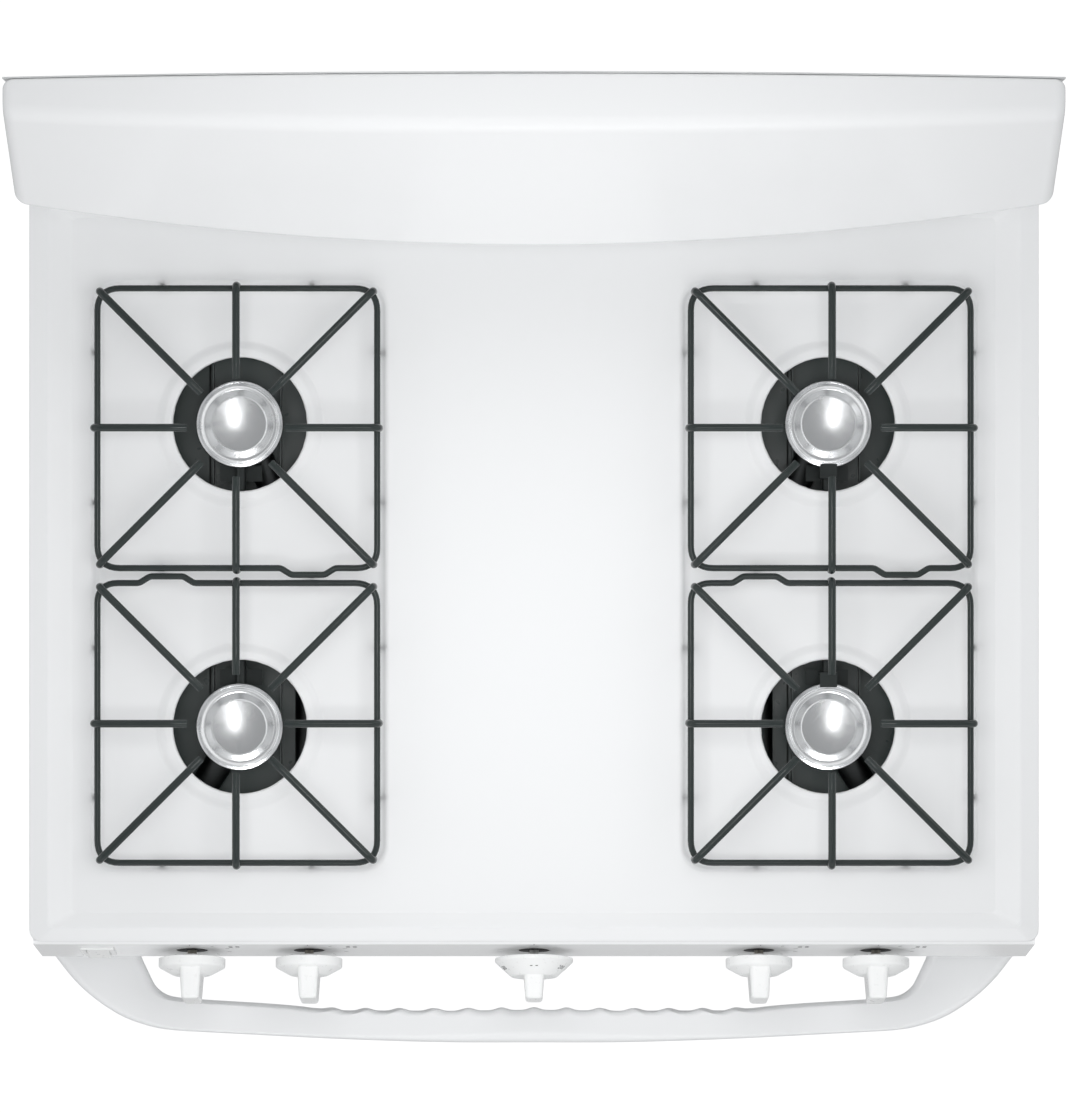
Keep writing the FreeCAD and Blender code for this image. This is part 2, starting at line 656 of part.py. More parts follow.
def front_frame():
    """The face frame with the oven and drawer openings and the two hinge lugs."""
    x = BODY_HALF - SHEET - 0.2
    plate = box(-x, x, FRAME_Y, FRAME_Y + 1.5, BODY_BOTTOM + 1, 808)
    plate = plate.cut(box(-CAVITY_HALF, CAVITY_HALF, FRAME_Y - 5, FRAME_Y + 5, *CAVITY_Z))
    plate = plate.cut(box(-345, 345, FRAME_Y - 5, FRAME_Y + 5, 52, 214))
    lugs = []
    for side in (-1, 1):
        xa, xb = sorted((side * HINGE_X[0], side * HINGE_X[1]))
        arm = box(xa, xb, HINGE_Y, FRAME_Y + 1, HINGE_Z - 7, HINGE_Z + 7)
        eye = rod((xa, HINGE_Y, HINGE_Z), (xb, HINGE_Y, HINGE_Z), 7)
        pin_end = HINGE_X[3] + 2
        pin = rod((side * (HINGE_X[0] + 2), HINGE_Y, HINGE_Z), (side * pin_end, HINGE_Y, HINGE_Z), HINGE_PIN_R)
        lugs += [arm, eye, pin]
    return fuse([plate] + lugs)


# ---------------------------------------------------------------- oven
def oven_liner():
    """The oven box with its front flange, rack ledges, lamp hole and burner hole."""
    x = CAVITY_HALF
    top = CAVITY_Z[1]
    front = FRAME_Y + 1.6
    outer = box(-x - 1, x + 1, front, CAVITY_BACK + 1, LINER_BOTTOM, top + 1)
    liner = outer.cut(box(-x, x, front - 5, CAVITY_BACK, LINER_BOTTOM - 5, top))
    flange = box(-x - 18, x + 18, front, front + 1, LINER_BOTTOM, top + 18)
    flange = flange.cut(box(-x, x, front - 5, front + 5, LINER_BOTTOM - 5, top))
    pieces = [liner, flange]
    for z in LEDGE_TOPS:
        shelf = prism_x([(RACK_Y[0] + 5, z), (CAVITY_BACK - 4, z), (CAVITY_BACK - 4, z - 5), (RACK_Y[0] + 5, z - 5)],
                        290, x + 0.5)
        pieces += both_sides(shelf)
    support = box(x - 9, x + 0.5, front + 2, CAVITY_BACK - 1, CAVITY_Z[0] - 4.2, CAVITY_Z[0] - 1.4)
    pieces += both_sides(support)
    liner = fuse(pieces)
    y0, y1 = CAVITY_BACK - 5, CAVITY_BACK + 5
    liner = liner.cut(rod((0, y0, OVEN_BURNER_Z), (0, y1, OVEN_BURNER_Z), 17))
    liner = liner.cut(rod((LAMP_X, y0, LAMP_Z), (LAMP_X, y1, LAMP_Z), LAMP_HOLE_R))
    return liner.cut(box(-58, 58, y0, y1, DUCT_Z[0] + 2, DUCT_Z[1] - 2))


def oven_bottom():
    """The lift-out oven floor, slotted along both sides."""
    x = CAVITY_HALF - 0.8
    plate = box(-x, x, FRAME_Y + 4, CAVITY_BACK - 1, CAVITY_Z[0] - SHEET, CAVITY_Z[0])
    for side in (-1, 1):
        for i in range(6):
            y = -200 + 70 * i
            xa, xb = sorted((side * 262, side * 272))
            plate = plate.cut(box(xa, xb, y, y + 46, CAVITY_Z[0] - 5, CAVITY_Z[0] + 5))
    for side in (-1, 1):
        plate = plate.cut(rod((side * 150, FRAME_Y + 22, 330), (side * 150, FRAME_Y + 22, 345), 9))
    return plate


def oven_burner():
    """The straight tube burner under the oven floor, ported along both sides."""
    z = OVEN_BURNER_Z
    tube = rod((0, -180, z), (0, 284, z), 15).cut(rod((0, -176, z), (0, 290, z), 13.8))
    for i in range(18):
        y = -165 + 19 * i
        tube = tube.cut(rod((-20, y, z + 3), (20, y, z + 3), 1.8))
    tab = box(-12, 12, -200, -178, z - 1, z + 1)
    return fuse([tube, tab])


def flame_spreader():
    """The folded sheet over the burner that spreads its flame."""
    y0, y1 = -190, 190
    top = OVEN_BURNER_Z + 22
    flat = box(-70, 70, y0, y1, top - SHEET, top)
    wing = face_of([(70, y0, top), (120, y0, top - 10), (120, y0, top - 10 - SHEET), (70, y0, top - SHEET)])
    return fuse([flat] + both_sides(wing.extrude(V(0, y1 - y0, 0))))


def oven_igniter():
    """The glow-bar lighter beside the tube burner, on its bracket."""
    z = OVEN_BURNER_Z
    bar = box(24, 34, -60, 40, z - 6, z + 6)
    block = box(20, 38, 40.05, 66, z - 10, z + 10)
    return [bar, block]


def insulation():
    """The glass-wool wrap round the oven: sides, top and back in one blanket."""
    x = CAVITY_HALF + 1.2
    y0 = FRAME_Y + 5
    y1 = CAVITY_BACK + 1.2
    top = CAVITY_Z[1] + 1.2
    outer = box(-x - INSULATION, x + INSULATION, y0, y1 + INSULATION, LINER_BOTTOM, top + 30)
    wrap = outer.cut(box(-x, x, y0 - 1, y1, LINER_BOTTOM - 1, top))
    wrap = wrap.cut(rod((0, y1 - 5, OVEN_BURNER_Z), (0, y1 + 60, OVEN_BURNER_Z), 18))
    wrap = wrap.cut(rod((LAMP_X, y1 - 5, LAMP_Z), (LAMP_X, y1 + 60, LAMP_Z), 24))
    return wrap.cut(box(-61, 61, y1 - 5, y1 + 60, DUCT_Z[0] - 1, DUCT_Z[1] + 1))


def oven_lamp():
    """The oven lamp: a glass globe in front of its ceramic holder."""
    y = CAVITY_BACK
    base = rod((LAMP_X, y - 4, LAMP_Z), (LAMP_X, y + 30, LAMP_Z), 15.5)
    flange = rod((LAMP_X, y - 4, LAMP_Z), (LAMP_X, y - 0.2, LAMP_Z), 23)
    globe = fuse([rod((LAMP_X, y - 22, LAMP_Z), (LAMP_X, y - 4.05, LAMP_Z), 17),
                  Part.makeSphere(17, V(LAMP_X, y - 22, LAMP_Z))])
    return [globe, fuse([base, flange])]


def vent_riser():
    """The riser behind the cooktop, slotted for the flue, and the flue duct to the oven."""
    x = HALF_WIDTH - 8
    y1 = SHELL_BACK_Y - 3 * SHEET - 0.2
    riser = box(-x, x, RISER_Y, y1, RIM_Z - 14, RIM_Z + 87.8)
    riser = riser.cut(box(-x + SHEET, x - SHEET, RISER_Y + SHEET, y1 + 5, RIM_Z - 14 + SHEET, RIM_Z + 95))
    for i in range(RISER_SLOTS):
        sx = -88 + 16 * i
        riser = riser.cut(box(sx - 5, sx + 5, RISER_Y - 5, RISER_Y + 5, RIM_Z + 40, RIM_Z + 74))
    duct_top = RIM_Z - 14
    duct = box(-60, 60, 304, 344, DUCT_Z[0], duct_top + 0.6)
    elbow = box(-60, 60, CAVITY_BACK + 1.1, 306, *DUCT_Z)
    duct = duct.fuse(elbow)
    inner = box(-59, 59, 305, 343, DUCT_Z[0] + 1, duct_top + 10)
    inner = inner.fuse(box(-59, 59, CAVITY_BACK - 5, 310, DUCT_Z[0] + 1, DUCT_Z[1] - 1))
    return riser.fuse(duct).cut(inner).removeSplitter()


def wire_rack(name):
    """A wire oven rack resting just above its ledges, and the stop welded along its rear."""
    z = RACK_LEDGES[name] + 0.4 + RACK_WIRE_R
    x = RACK_HALF
    y0, y1 = RACK_Y
    r = RACK_WIRE_R
    wires = [
        tube_run([(-x, y0, z), (x, y0, z), (x, y1, z), (-x, y1, z), (-x, y0, z)], r),
        Part.makeSphere(r, V(-x, y0, z)),
    ]
    for y in (y0 + 150, y0 + 295):
        wires.append(rod((-x, y, z), (x, y, z), 2.6))
    for i in range(RACK_BARS):
        wx = -x + 2 * x * (i + 1) / (RACK_BARS + 1)
        wires.append(rod((wx, y0, z + r), (wx, y1, z + r), RACK_BAR_R))
    rack = fuse(wires)
    half, height, stop_r = RACK_STOP
    stop = tube_run([(-half, y1, z), (-half, y1, z + height), (half, y1, z + height), (half, y1, z)], stop_r)
    return [rack, stop.cut(rack)]


# ---------------------------------------------------------------- control panel
def panel_form(t):
    """The control housing's outline in YZ, drawn in by t."""
    k = t / math.cos(PANEL_TILT)
    slope = math.tan(PANEL_TILT)
    top = PANEL_TOP[1] - t
    bottom = PANEL_BOTTOM[1] + t
    y_top = PANEL_TOP[0] + k - slope * t
    y_bottom = PANEL_BOTTOM[0] + k + slope * t
    return [(PANEL_REAR, top), (y_top, top), (y_bottom, bottom), (PANEL_REAR, bottom)]


def control_panel():
    """The sloped front panel with its end plates, stem holes and switch opening."""
    shell = prism_x(panel_form(0), -PANEL_HALF, PANEL_HALF)
    long_edges = [e for e in shell.Edges if e.Length > 700 and e.CenterOfMass.y < PANEL_REAR - 4]
    shell = shell.makeFillet(PANEL_EDGE, long_edges)
    # the hollow runs out through the rear, which stays open
    hollow_face = [(y + (8 if y == PANEL_REAR else 0), z) for y, z in panel_form(SHEET)]
    shell = shell.cut(prism_x(hollow_face, -PANEL_HALF + SHEET, PANEL_HALF - SHEET))
    for x in (-VALVE_X[0], -VALVE_X[1], 0, VALVE_X[1], VALVE_X[0]):
        shell = shell.cut(on_panel(Part.makeCylinder(STEM_HOLE_R, 20, V(0, 0, -10)), x))
    width, height = SWITCH_OPENING
    opening = Part.makeBox(width, height, 20, V(-width / 2, -height / 2, -10))
    return shell.cut(on_panel(opening, SWITCH_X))


def knob_grip(width, ridge, length, base_z, height):
    """The finger bar of a knob: a wedge with rounded ends standing on base_z."""
    w = width / 2
    r = ridge / 2
    wire_low = rounded_wire(-w, w, -length / 2, length / 2, w * 0.6, base_z)
    wire_high = rounded_wire(-r, r, -length / 2 + 2, length / 2 - 2, r * 0.8, base_z + height)
    return Part.makeLoft([wire_low, wire_high], True, True)


def burner_knob():
    """A burner knob round the origin, its face towards +Z."""
    profile = [(0, 6.5), (25.4, 6.5), (25.4, 13.0), (24.2, 14.5), (14, 19.5), (0, 19.5)]
    skirt = turned(profile, (0, 0, 0))
    skirt = skirt.cut(Part.makeCylinder(22.6, 5, V(0, 0, 6.0)))
    hub = Part.makeCylinder(7, 6, V(0, 0, 6.5))
    # the grip runs down past the sloped face, so it starts below the crown
    grip = knob_grip(17.0, 10.0, 44.0, 14.2, 24.7)
    knob = fuse([skirt, hub, grip])
    return knob.cut(Part.makeCylinder(BORE_R, 17, V(0, 0, 0)))


def oven_knob():
    """The larger thermostat dial."""
    profile = [(0, 6.5), (29.75, 6.5), (29.75, 8.7), (28.9, 9.5), (18, 19.5), (17.4, 20.5), (0, 20.5)]
    skirt = turned(profile, (0, 0, 0))
    hub = Part.makeCylinder(8, 5, V(0, 0, 5.0))
    grip = knob_grip(15.7, 9.0, 33.0, 20.0, 18.5)
    knob = fuse([skirt, hub, grip])
    return knob.cut(Part.makeCylinder(BORE_R, 26.5, V(0, 0, 0)))


def burner_stem():
    """A tap's push stem, from inside the tap to inside the knob."""
    return Part.makeCylinder(STEM_R, 39, V(0, 0, -23))


def switch_housing():
    """The bezel and body that the rocker sits in."""
    bezel = Part.makeBox(25, 35, 1.8, V(-12.5, -17.5, 0.05))
    body = Part.makeBox(20.6, 30.6, 17, V(-10.3, -15.3, -16.9))
    well = Part.makeBox(18.1, 28.1, 17, V(-9.05, -14.05, -14))
    pin = Part.makeCylinder(ROCKER_PIN_R, 20, V(-10, 0, ROCKER_PIN_Z), V(1, 0, 0))
    return fuse([fuse([bezel, body]).cut(well), pin])


def rocker_switch():
    """The rocker, tipped to its off position on the housing's pin."""
    width, height, depth = ROCKER
    body = Part.makeBox(width, height, depth, V(-width / 2, -height / 2, -5.0))
    body = body.makeFillet(1.2, [e for e in body.Edges if e.CenterOfMass.z > 2.9])
    bore = ROCKER_PIN_R + 0.06
    body = body.cut(Part.makeCylinder(bore, 30, V(-15, 0, ROCKER_PIN_Z), V(1, 0, 0)))
    # the bore is open below, so that the rocker snaps over its pin
    body = body.cut(Part.makeBox(30, 2 * bore, 4, V(-15, -bore, ROCKER_PIN_Z - 4)))
    body.rotate(V(0, 0, ROCKER_PIN_Z), V(1, 0, 0), -ROCKER_TILT)
    return body


# ---------------------------------------------------------------- backguard
def backguard_form(t):
    """The crowned, bowed housing behind the cooktop, drawn in by t."""
    half = HALF_WIDTH - t
    wires = []
    for i in range(-3, 4):
        x = half * i / 3
        lip_y = along_width(LIP_Y, x) + 1.6 * t
        crown_y = along_width(CROWN_Y, x) + 0.9 * t
        crown_z = along_width(CROWN_Z, x) - t
        rear = SHELL_BACK_Y + 0.6 + (5 if t else 0)
        floor = GUARD_FLOOR_Z + t
        outline = [(lip_y, LIP_Z + 0.2 * t), (crown_y, crown_z), (rear, crown_z), (rear, floor), (RISER_Y - 8, floor)]
        points = [V(x, y, z) for y, z in outline]
        wires.append(Part.makePolygon(points + [points[0]]))
    return Part.makeLoft(wires, True, False)


def backguard():
    """The enamelled backguard shell, open at the rear."""
    return backguard_form(0).cut(backguard_form(GUARD_SHEET))


def backguard_back():
    """The flat sheet that closes the backguard, with its arched top."""
    y = BACK_Y - SHEET
    half = HALF_WIDTH - 0.4
    arch = [V(half * i / 6, y, along_width(CROWN_Z, half * i / 6) - 0.6) for i in range(-6, 7)]
    curve = Part.BSplineCurve()
    curve.interpolate(arch)
    floor = RIM_Z - 8
    corners = [arch[-1], V(half, y, floor), V(-half, y, floor), arch[0]]
    edges = [curve.toShape()]
    for a, b in zip(corners, corners[1:]):
        edges.append(Part.LineSegment(a, b).toShape())
    return Part.Face(Part.Wire(edges)).extrude(V(0, SHEET, 0))


# ---------------------------------------------------------------- door
def front_shell(z0, z1, rear):
    """A sheet skin with softened front edges and folds running back to y = rear."""
    made = []
    for t, back in ((0, rear), (SHEET, rear + 5)):
        y0 = DOOR_FRONT_Y + t
        block = box(-DOOR_HALF + t, DOOR_HALF - t, y0, back, z0 + t, z1 - t)
        front_edges = [e for e in block.Edges if abs(e.CenterOfMass.y - y0) < 0.1]
        made.append(block.makeFillet(EDGE_R - t, front_edges))
    return made[0].cut(made[1])


def door_panel():
    """The enamelled outer door skin with its folded edges, window and hinge notches."""
    shell = front_shell(*DOOR_Z, -250.2)
    shell = shell.cut(box(-WINDOW_HALF, WINDOW_HALF, DOOR_FRONT_Y - 5, DOOR_FRONT_Y + 5, *WINDOW_Z))
    return cut_all(shell, hinge_notches())


def cut_all(shape, tools):
    """A shape less each of several tools."""
    for tool in tools:
        shape = shape.cut(tool)
    return shape


def hinge_notches():
    """The room in the door's lower rear corner for the hinge lugs and pins."""
    return both_sides(box(325, 345, -284, -240, 238, 264))


def door_window():
    """The outer pane, behind the skin."""
    y0 = DOOR_FRONT_Y + SHEET + 0.1
    m = PANE_MARGIN
    return box(-WINDOW_HALF - m, WINDOW_HALF + m, y0, y0 + PANE_T, WINDOW_Z[0] - m, WINDOW_Z[1] + m)


def liner_plug(half, z0, z1, r, start, end):
    """The liner's raised field: a tapered block from depth start to depth end."""
    taper = 6.0
    low = rounded_wire(-half, half, z0, z1, r, start)
    high = rounded_wire(-half + taper, half - taper, z0 + taper, z1 - taper, r - 5, end)
    return stand_up(Part.makeLoft([low, high], True, True))


def door_liner():
    """The inner door pan, whose raised field enters the oven's mouth."""
    x = DOOR_HALF - 3
    z0, z1 = DOOR_Z[0] + 3, DOOR_Z[1] - 3
    plate = box(-x, x, LINER_Y, LINER_Y + SHEET, z0, z1)
    depth = PLUG_Y - LINER_Y
    low, high = PLUG_Z
    plug = liner_plug(PLUG_HALF, low, high, 14, 0, depth)
    hollow = liner_plug(PLUG_HALF - SHEET, low + SHEET, high - SHEET, 13, -1.3, depth - SHEET)
    liner = plate.fuse(plug).cut(hollow)
    liner = liner.cut(box(-WINDOW_HALF, WINDOW_HALF, -260, -230, *WINDOW_Z))
    return cut_all(liner, hinge_notches()).removeSplitter()


def stand_up(shape):
    """Turn a shape drawn as (x, z) with depth +Z into one with depth +Y from the liner's plane."""
    m = FreeCAD.Matrix()
    m.A11, m.A12, m.A13, m.A14 = 1, 0, 0, 0
    m.A21, m.A22, m.A23, m.A24 = 0, 0, 1, LINER_Y
    m.A31, m.A32, m.A33, m.A34 = 0, 1, 0, 0
    return shape.transformGeometry(m)


def door_inner_window():
    """The inner pane, held in the raised field."""
    m = PANE_MARGIN
    y1 = PLUG_Y - SHEET - 0.1
    return box(-WINDOW_HALF - m, WINDOW_HALF + m, y1 - PANE_T, y1, WINDOW_Z[0] - m, WINDOW_Z[1] + m)


def door_gasket():
    """The woven seal round the oven's mouth."""
    outer = tapered((-322, 322, 326, 780, 20, 0), (-322, 322, 326, 780, 20, 5.4))
    inner = tapered((-312, 312, 336, 770, 12, -1), (-312, 312, 336, 770, 12, 7))
    ring = stand_up(outer.cut(inner))
    ring.translate(V(0, SHEET + 0.05, 0))
    return ring


def door_hinge_arms():
    """The two arms inside the door that turn on the frame's pins."""
    x0, x1 = HINGE_X[2:]
    eye_r = 6.5
    arm = box(x0, x1, HINGE_Y - 12, HINGE_Y + 6, HINGE_Z, 430)
    eye = rod((x0, HINGE_Y, HINGE_Z), (x1, HINGE_Y, HINGE_Z), eye_r)
    web = box(x0, x1, HINGE_Y - eye_r, HINGE_Y + eye_r, HINGE_Z, HINGE_Z + 20)
    bore = rod((x0 - 5, HINGE_Y, HINGE_Z), (x1 + 5, HINGE_Y, HINGE_Z), HINGE_PIN_R + 0.05)
    return both_sides(fuse([arm, eye, web]).cut(bore))


def scalloped_points():
    """The finger scallops on the handle's inner side, from +X to -X."""
    step = SCALLOP_PITCH / 2
    points = []
    for i in range(SCALLOPS, -SCALLOPS - 1, -1):
        lift = SCALLOP_DEPTH if i % 2 == 0 else -SCALLOP_DEPTH
        edge = min(1.0, (SCALLOPS + 1 - abs(i)) / 3.0)
        base = SCALLOP_Y + 3.2 * (1 - edge)
        points.append((i * step, base + lift * edge))
    return points


def curve_through(points, z):
    """A smooth edge through XY points at height z."""
    curve = Part.BSplineCurve()
    curve.interpolate([V(x, y, z) for x, y in points])
    return curve.toShape()


def door_handle():
    """The bowed handle with its scalloped inner side."""
    z0, z1 = HANDLE_Z
    outer = HANDLE_OUTER + [(-x, y) for x, y in reversed(HANDLE_OUTER[:-1])]
    inner = HANDLE_INNER + scalloped_points() + [(-x, y) for x, y in reversed(HANDLE_INNER)]
    outer_edge = curve_through(outer, z0)
    inner_edge = curve_through(inner, z0)
    right = Part.LineSegment(V(*HANDLE_INNER[0], z0), V(*HANDLE_OUTER[0], z0)).toShape()
    left = Part.LineSegment(V(-HANDLE_OUTER[0][0], HANDLE_OUTER[0][1], z0),
                            V(-HANDLE_INNER[0][0], HANDLE_INNER[0][1], z0)).toShape()
    wire = Part.Wire([outer_edge, left, inner_edge.reversed(), right])
    wire = Part.Wire(Part.sortEdges(wire.Edges)[0])
    bar = Part.Face(wire).extrude(V(0, 0, z1 - z0))
    rims = [e for e in bar.Edges if e.CenterOfMass.y < -340 and e.Length > 760]
    return bar.makeFillet(HANDLE_ROUND, rims)


# ---------------------------------------------------------------- broiler drawer
def drawer_front():
    """The drawer's enamelled front."""
    return front_shell(*DRAWER_FRONT_Z, FRAME_Y - 2)


def drawer_box():
    """The sheet drawer that carries the broiler pan."""
    y0 = DOOR_FRONT_Y + SHEET + 0.1
    return pan(-DRAWER_HALF, DRAWER_HALF, y0, DRAWER_BACK_Y, *DRAWER_BOX_Z, 1.0)


def broiler_pan():
    """The enamelled drip pan standing in the drawer."""
    x = PAN_HALF
    y0, y1 = PAN_Y
    outer = tapered((-x + 8, x - 8, y0 + 8, y1 - 8, 16, 63.1), (-x, x, y0, y1, 22, 94))
    inner = tapered((-x + 9.2, x - 9.2, y0 + 9.2, y1 - 9.2, 15, 64.4), (-x + 1.2, x - 1.2, y0 + 1.2, y1 - 1.2, 21, 95))
    rim = tapered((-x - 9, x + 9, y0 - 9, y1 + 9, 28, 93), (-x - 9, x + 9, y0 - 9, y1 + 9, 28, 94.2))
    return outer.fuse(rim).cut(inner).removeSplitter()


def broiler_grid():
    """The slotted grid that covers the drip pan."""
    x = PAN_HALF + 6
    y0, y1 = PAN_Y[0] - 6, PAN_Y[1] + 6
    plate = tapered((-x, x, y0, y1, 24, 94.3), (-x, x, y0, y1, 24, 95.5))
    slots = []
    for i in range(9):
        for j in range(4):
            sx = -160 + 40 * i
            sy = y0 + 38 + 70 * j
            slots.append(box(sx - 2.5, sx + 2.5, sy, sy + 46, 90, 100))
    return cut_all(plate, slots)


# ---------------------------------------------------------------- fasteners
def screws():
    """Pan-head screws round the back sheets."""
    made = []
    y = SHELL_BACK_Y
    for side in (-1, 1):
        for z in (60, 260, 460, 720, 880):
            x = side * 368
            head = turned([(0, 0), (4.0, 0), (3.6, 1.2), (2.2, 2.0), (0, 2.0)], (0, 0, 0))
            head.rotate(V(0, 0, 0), V(1, 0, 0), -90)
            head.translate(V(x, y, z))
            made.append(head)
    return made


# ---------------------------------------------------------------- export
def all_nodes():
    """Every node's name with its solid or list of solids."""
    right_side = side_panel()
    nodes = {
        "side_panel_right": right_side,
        "side_panel_left": right_side.mirror(V(0, 0, 0), V(1, 0, 0)),
        "back_panel": back_panel(),
        "base_frame": base_frame(),
        "front_frame": front_frame(),
        "oven_liner": oven_liner(),
        "oven_bottom": oven_bottom(),
        "oven_burner": oven_burner(),
        "flame_spreader": flame_spreader(),
        "oven_igniter": oven_igniter(),
        "insulation": insulation(),
        "burner_box": burner_box(),
        "surface_burners": surface_burners(),
        "burner_caps": burner_caps(),
        "flash_tubes": flash_tubes(),
        "manifold_pipe": manifold_pipe(),
        "gas_valves": gas_valves(),
        "thermostat_valve": thermostat_valve(),
        "gas_tubes": gas_tubes(),
        "pressure_regulator": pressure_regulator(),
        "control_panel": control_panel(),
        "switch_housing": on_panel(switch_housing(), SWITCH_X),
        "rocker_switch": on_panel(rocker_switch(), SWITCH_X),
        "backguard": backguard(),
        "backguard_back": backguard_back(),
        "vent_riser": vent_riser(),
        "oven_lamp": oven_lamp(),
        "screws": screws(),
        "cord_gland": cord_gland(),
        "door_panel": door_panel(),
        "door_window": door_window(),
        "door_liner": door_liner(),
        "door_inner_window": door_inner_window(),
        "door_gasket": door_gasket(),
        "door_handle": door_handle(),
        "door_hinge_arms": door_hinge_arms(),
        "drawer_front": drawer_front(),
        "drawer_box": drawer_box(),
        "broiler_pan": broiler_pan(),
        "broiler_grid": broiler_grid(),
        "cooktop": cooktop(),
        "oven_knob": on_panel(oven_knob(), 0),
    }
    nodes.update(grates())
    for name in RACK_LEDGES:
        nodes[name] = wire_rack(name)
    knob = burner_knob()
    stem = burner_stem()
    for side, side_name in ((-1, "left"), (1, "right")):
        for row, row_name in ((0, "front"), (1, "rear")):
            x = side * VALVE_X[row]
            nodes["knob_%s_%s" % (side_name, row_name)] = on_panel(knob, x)
            nodes["stem_%s_%s" % (side_name, row_name)] = on_panel(stem, x)
            nodes["leg_%s_%s" % (side_name, row_name)] = leg(side * LEG_X, LEG_Y[row])
    return nodes


os.makedirs("parts", exist_ok=True)
for node_name, node_shape in all_nodes().items():
    if isinstance(node_shape, list):
        node_shape = Part.makeCompound(node_shape)
    node_shape.exportStep("parts/%s.step" % node_name)
    print("%-22s %8.1f cm3  solids %d  valid %s" % (
        node_name, node_shape.Volume / 1000, len(node_shape.Solids), node_shape.isValid()))
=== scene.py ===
import json
import math

import bmesh
import bpy
import numpy as np
from mathutils import Matrix, Vector
from mathutils.geometry import delaunay_2d_cdt

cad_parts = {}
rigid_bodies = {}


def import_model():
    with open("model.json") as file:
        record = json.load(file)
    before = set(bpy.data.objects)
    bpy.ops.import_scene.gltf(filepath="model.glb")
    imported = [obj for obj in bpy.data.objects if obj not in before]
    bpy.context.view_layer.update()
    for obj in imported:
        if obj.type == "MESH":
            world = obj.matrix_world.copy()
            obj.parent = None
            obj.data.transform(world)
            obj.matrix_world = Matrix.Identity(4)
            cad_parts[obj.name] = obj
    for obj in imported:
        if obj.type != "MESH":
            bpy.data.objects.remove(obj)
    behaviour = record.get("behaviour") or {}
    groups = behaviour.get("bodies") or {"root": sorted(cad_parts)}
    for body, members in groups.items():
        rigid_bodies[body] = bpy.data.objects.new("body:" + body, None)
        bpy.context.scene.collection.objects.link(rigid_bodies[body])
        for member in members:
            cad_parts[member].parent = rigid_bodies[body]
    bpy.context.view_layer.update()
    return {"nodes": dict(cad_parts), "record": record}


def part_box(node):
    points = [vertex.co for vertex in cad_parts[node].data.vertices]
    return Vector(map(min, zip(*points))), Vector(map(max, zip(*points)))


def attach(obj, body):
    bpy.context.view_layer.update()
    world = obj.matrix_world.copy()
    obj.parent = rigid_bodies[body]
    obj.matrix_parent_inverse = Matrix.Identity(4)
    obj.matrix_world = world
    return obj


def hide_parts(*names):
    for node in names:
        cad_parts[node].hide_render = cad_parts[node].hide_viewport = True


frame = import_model()
NODES = frame["nodes"]

# ------------------------------------------------------------------ sizes, in metres
MM = 0.001
PLACES = ["left_front", "left_rear", "right_front", "right_rear"]
SIDE = {"left": -1, "right": 1}
TOP_LOW, TOP_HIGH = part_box("cooktop")
RIM_Z = TOP_HIGH.z
HALF_WIDTH = TOP_HIGH.x
TOP_FRONT = TOP_LOW.y
TOP_REAR = TOP_HIGH.y
FLANGE_Z = TOP_LOW.z
CAMERA_ABOVE = 3.7      # over the cooktop's ridge
CAMERA_Y = 0.0188
CAMERA_LENS = 158.8     # millimetres

# ------------------------------------------------------------------ camera, light and floor
scene = bpy.context.scene
scene.view_settings.view_transform = "Standard"


def look_down_camera():
    """The camera hangs over the cooktop and looks straight down, image-up towards the back."""
    data = bpy.data.cameras.new("camera")
    data.sensor_width = 36.0
    data.lens = CAMERA_LENS
    data.clip_end = 100.0
    camera = bpy.data.objects.new("camera", data)
    camera.location = (0.0, CAMERA_Y, RIM_Z + CAMERA_ABOVE)
    scene.collection.objects.link(camera)
    scene.camera = camera


def softbox(name, place, aim, size, power, mirrored=True, spread_deg=180):
    """A rectangular studio light at place, facing aim; mirrored says whether glossy surfaces reflect it."""
    data = bpy.data.lights.new(name, "AREA")
    data.shape = "RECTANGLE"
    data.size, data.size_y = size
    data.energy = power
    data.spread = math.radians(spread_deg)
    lamp = bpy.data.objects.new(name, data)
    lamp.location = place
    lamp.rotation_euler = (Vector(aim) - Vector(place)).to_track_quat("-Z", "Y").to_euler()
    lamp.visible_camera = False
    lamp.visible_glossy = mirrored
    scene.collection.objects.link(lamp)
    return lamp


def glint(name, place, aim, size, power, start):
    """A light that only reaches the pieces whose names begin with start (one beginning, or several)."""
    lamp = softbox(name, place, aim, size, power)
    lit = bpy.data.collections.new(name + "_lit")
    for piece in bpy.data.objects:
        if piece.name.startswith(start):
            lit.objects.link(piece)
    lamp.light_linking.receiver_collection = lit


def sky(zenith, horizon):
    """An even pale surround, dimmer overhead so that bright metal has something dark to reflect."""
    world = bpy.data.worlds.new("studio_sky")
    world.use_nodes = True
    tree = world.node_tree
    back = tree.nodes["Background"]
    place = tree.nodes.new("ShaderNodeTexCoord")
    split = tree.nodes.new("ShaderNodeSeparateXYZ")
    tree.links.new(place.outputs["Generated"], split.inputs["Vector"])
    stops = [(0.0, horizon), (0.55, horizon), (0.93, zenith)]
    tree.links.new(ramp(tree, split.outputs["Z"], stops), back.inputs["Color"])
    back.inputs["Strength"].default_value = 1.0
    scene.world = world


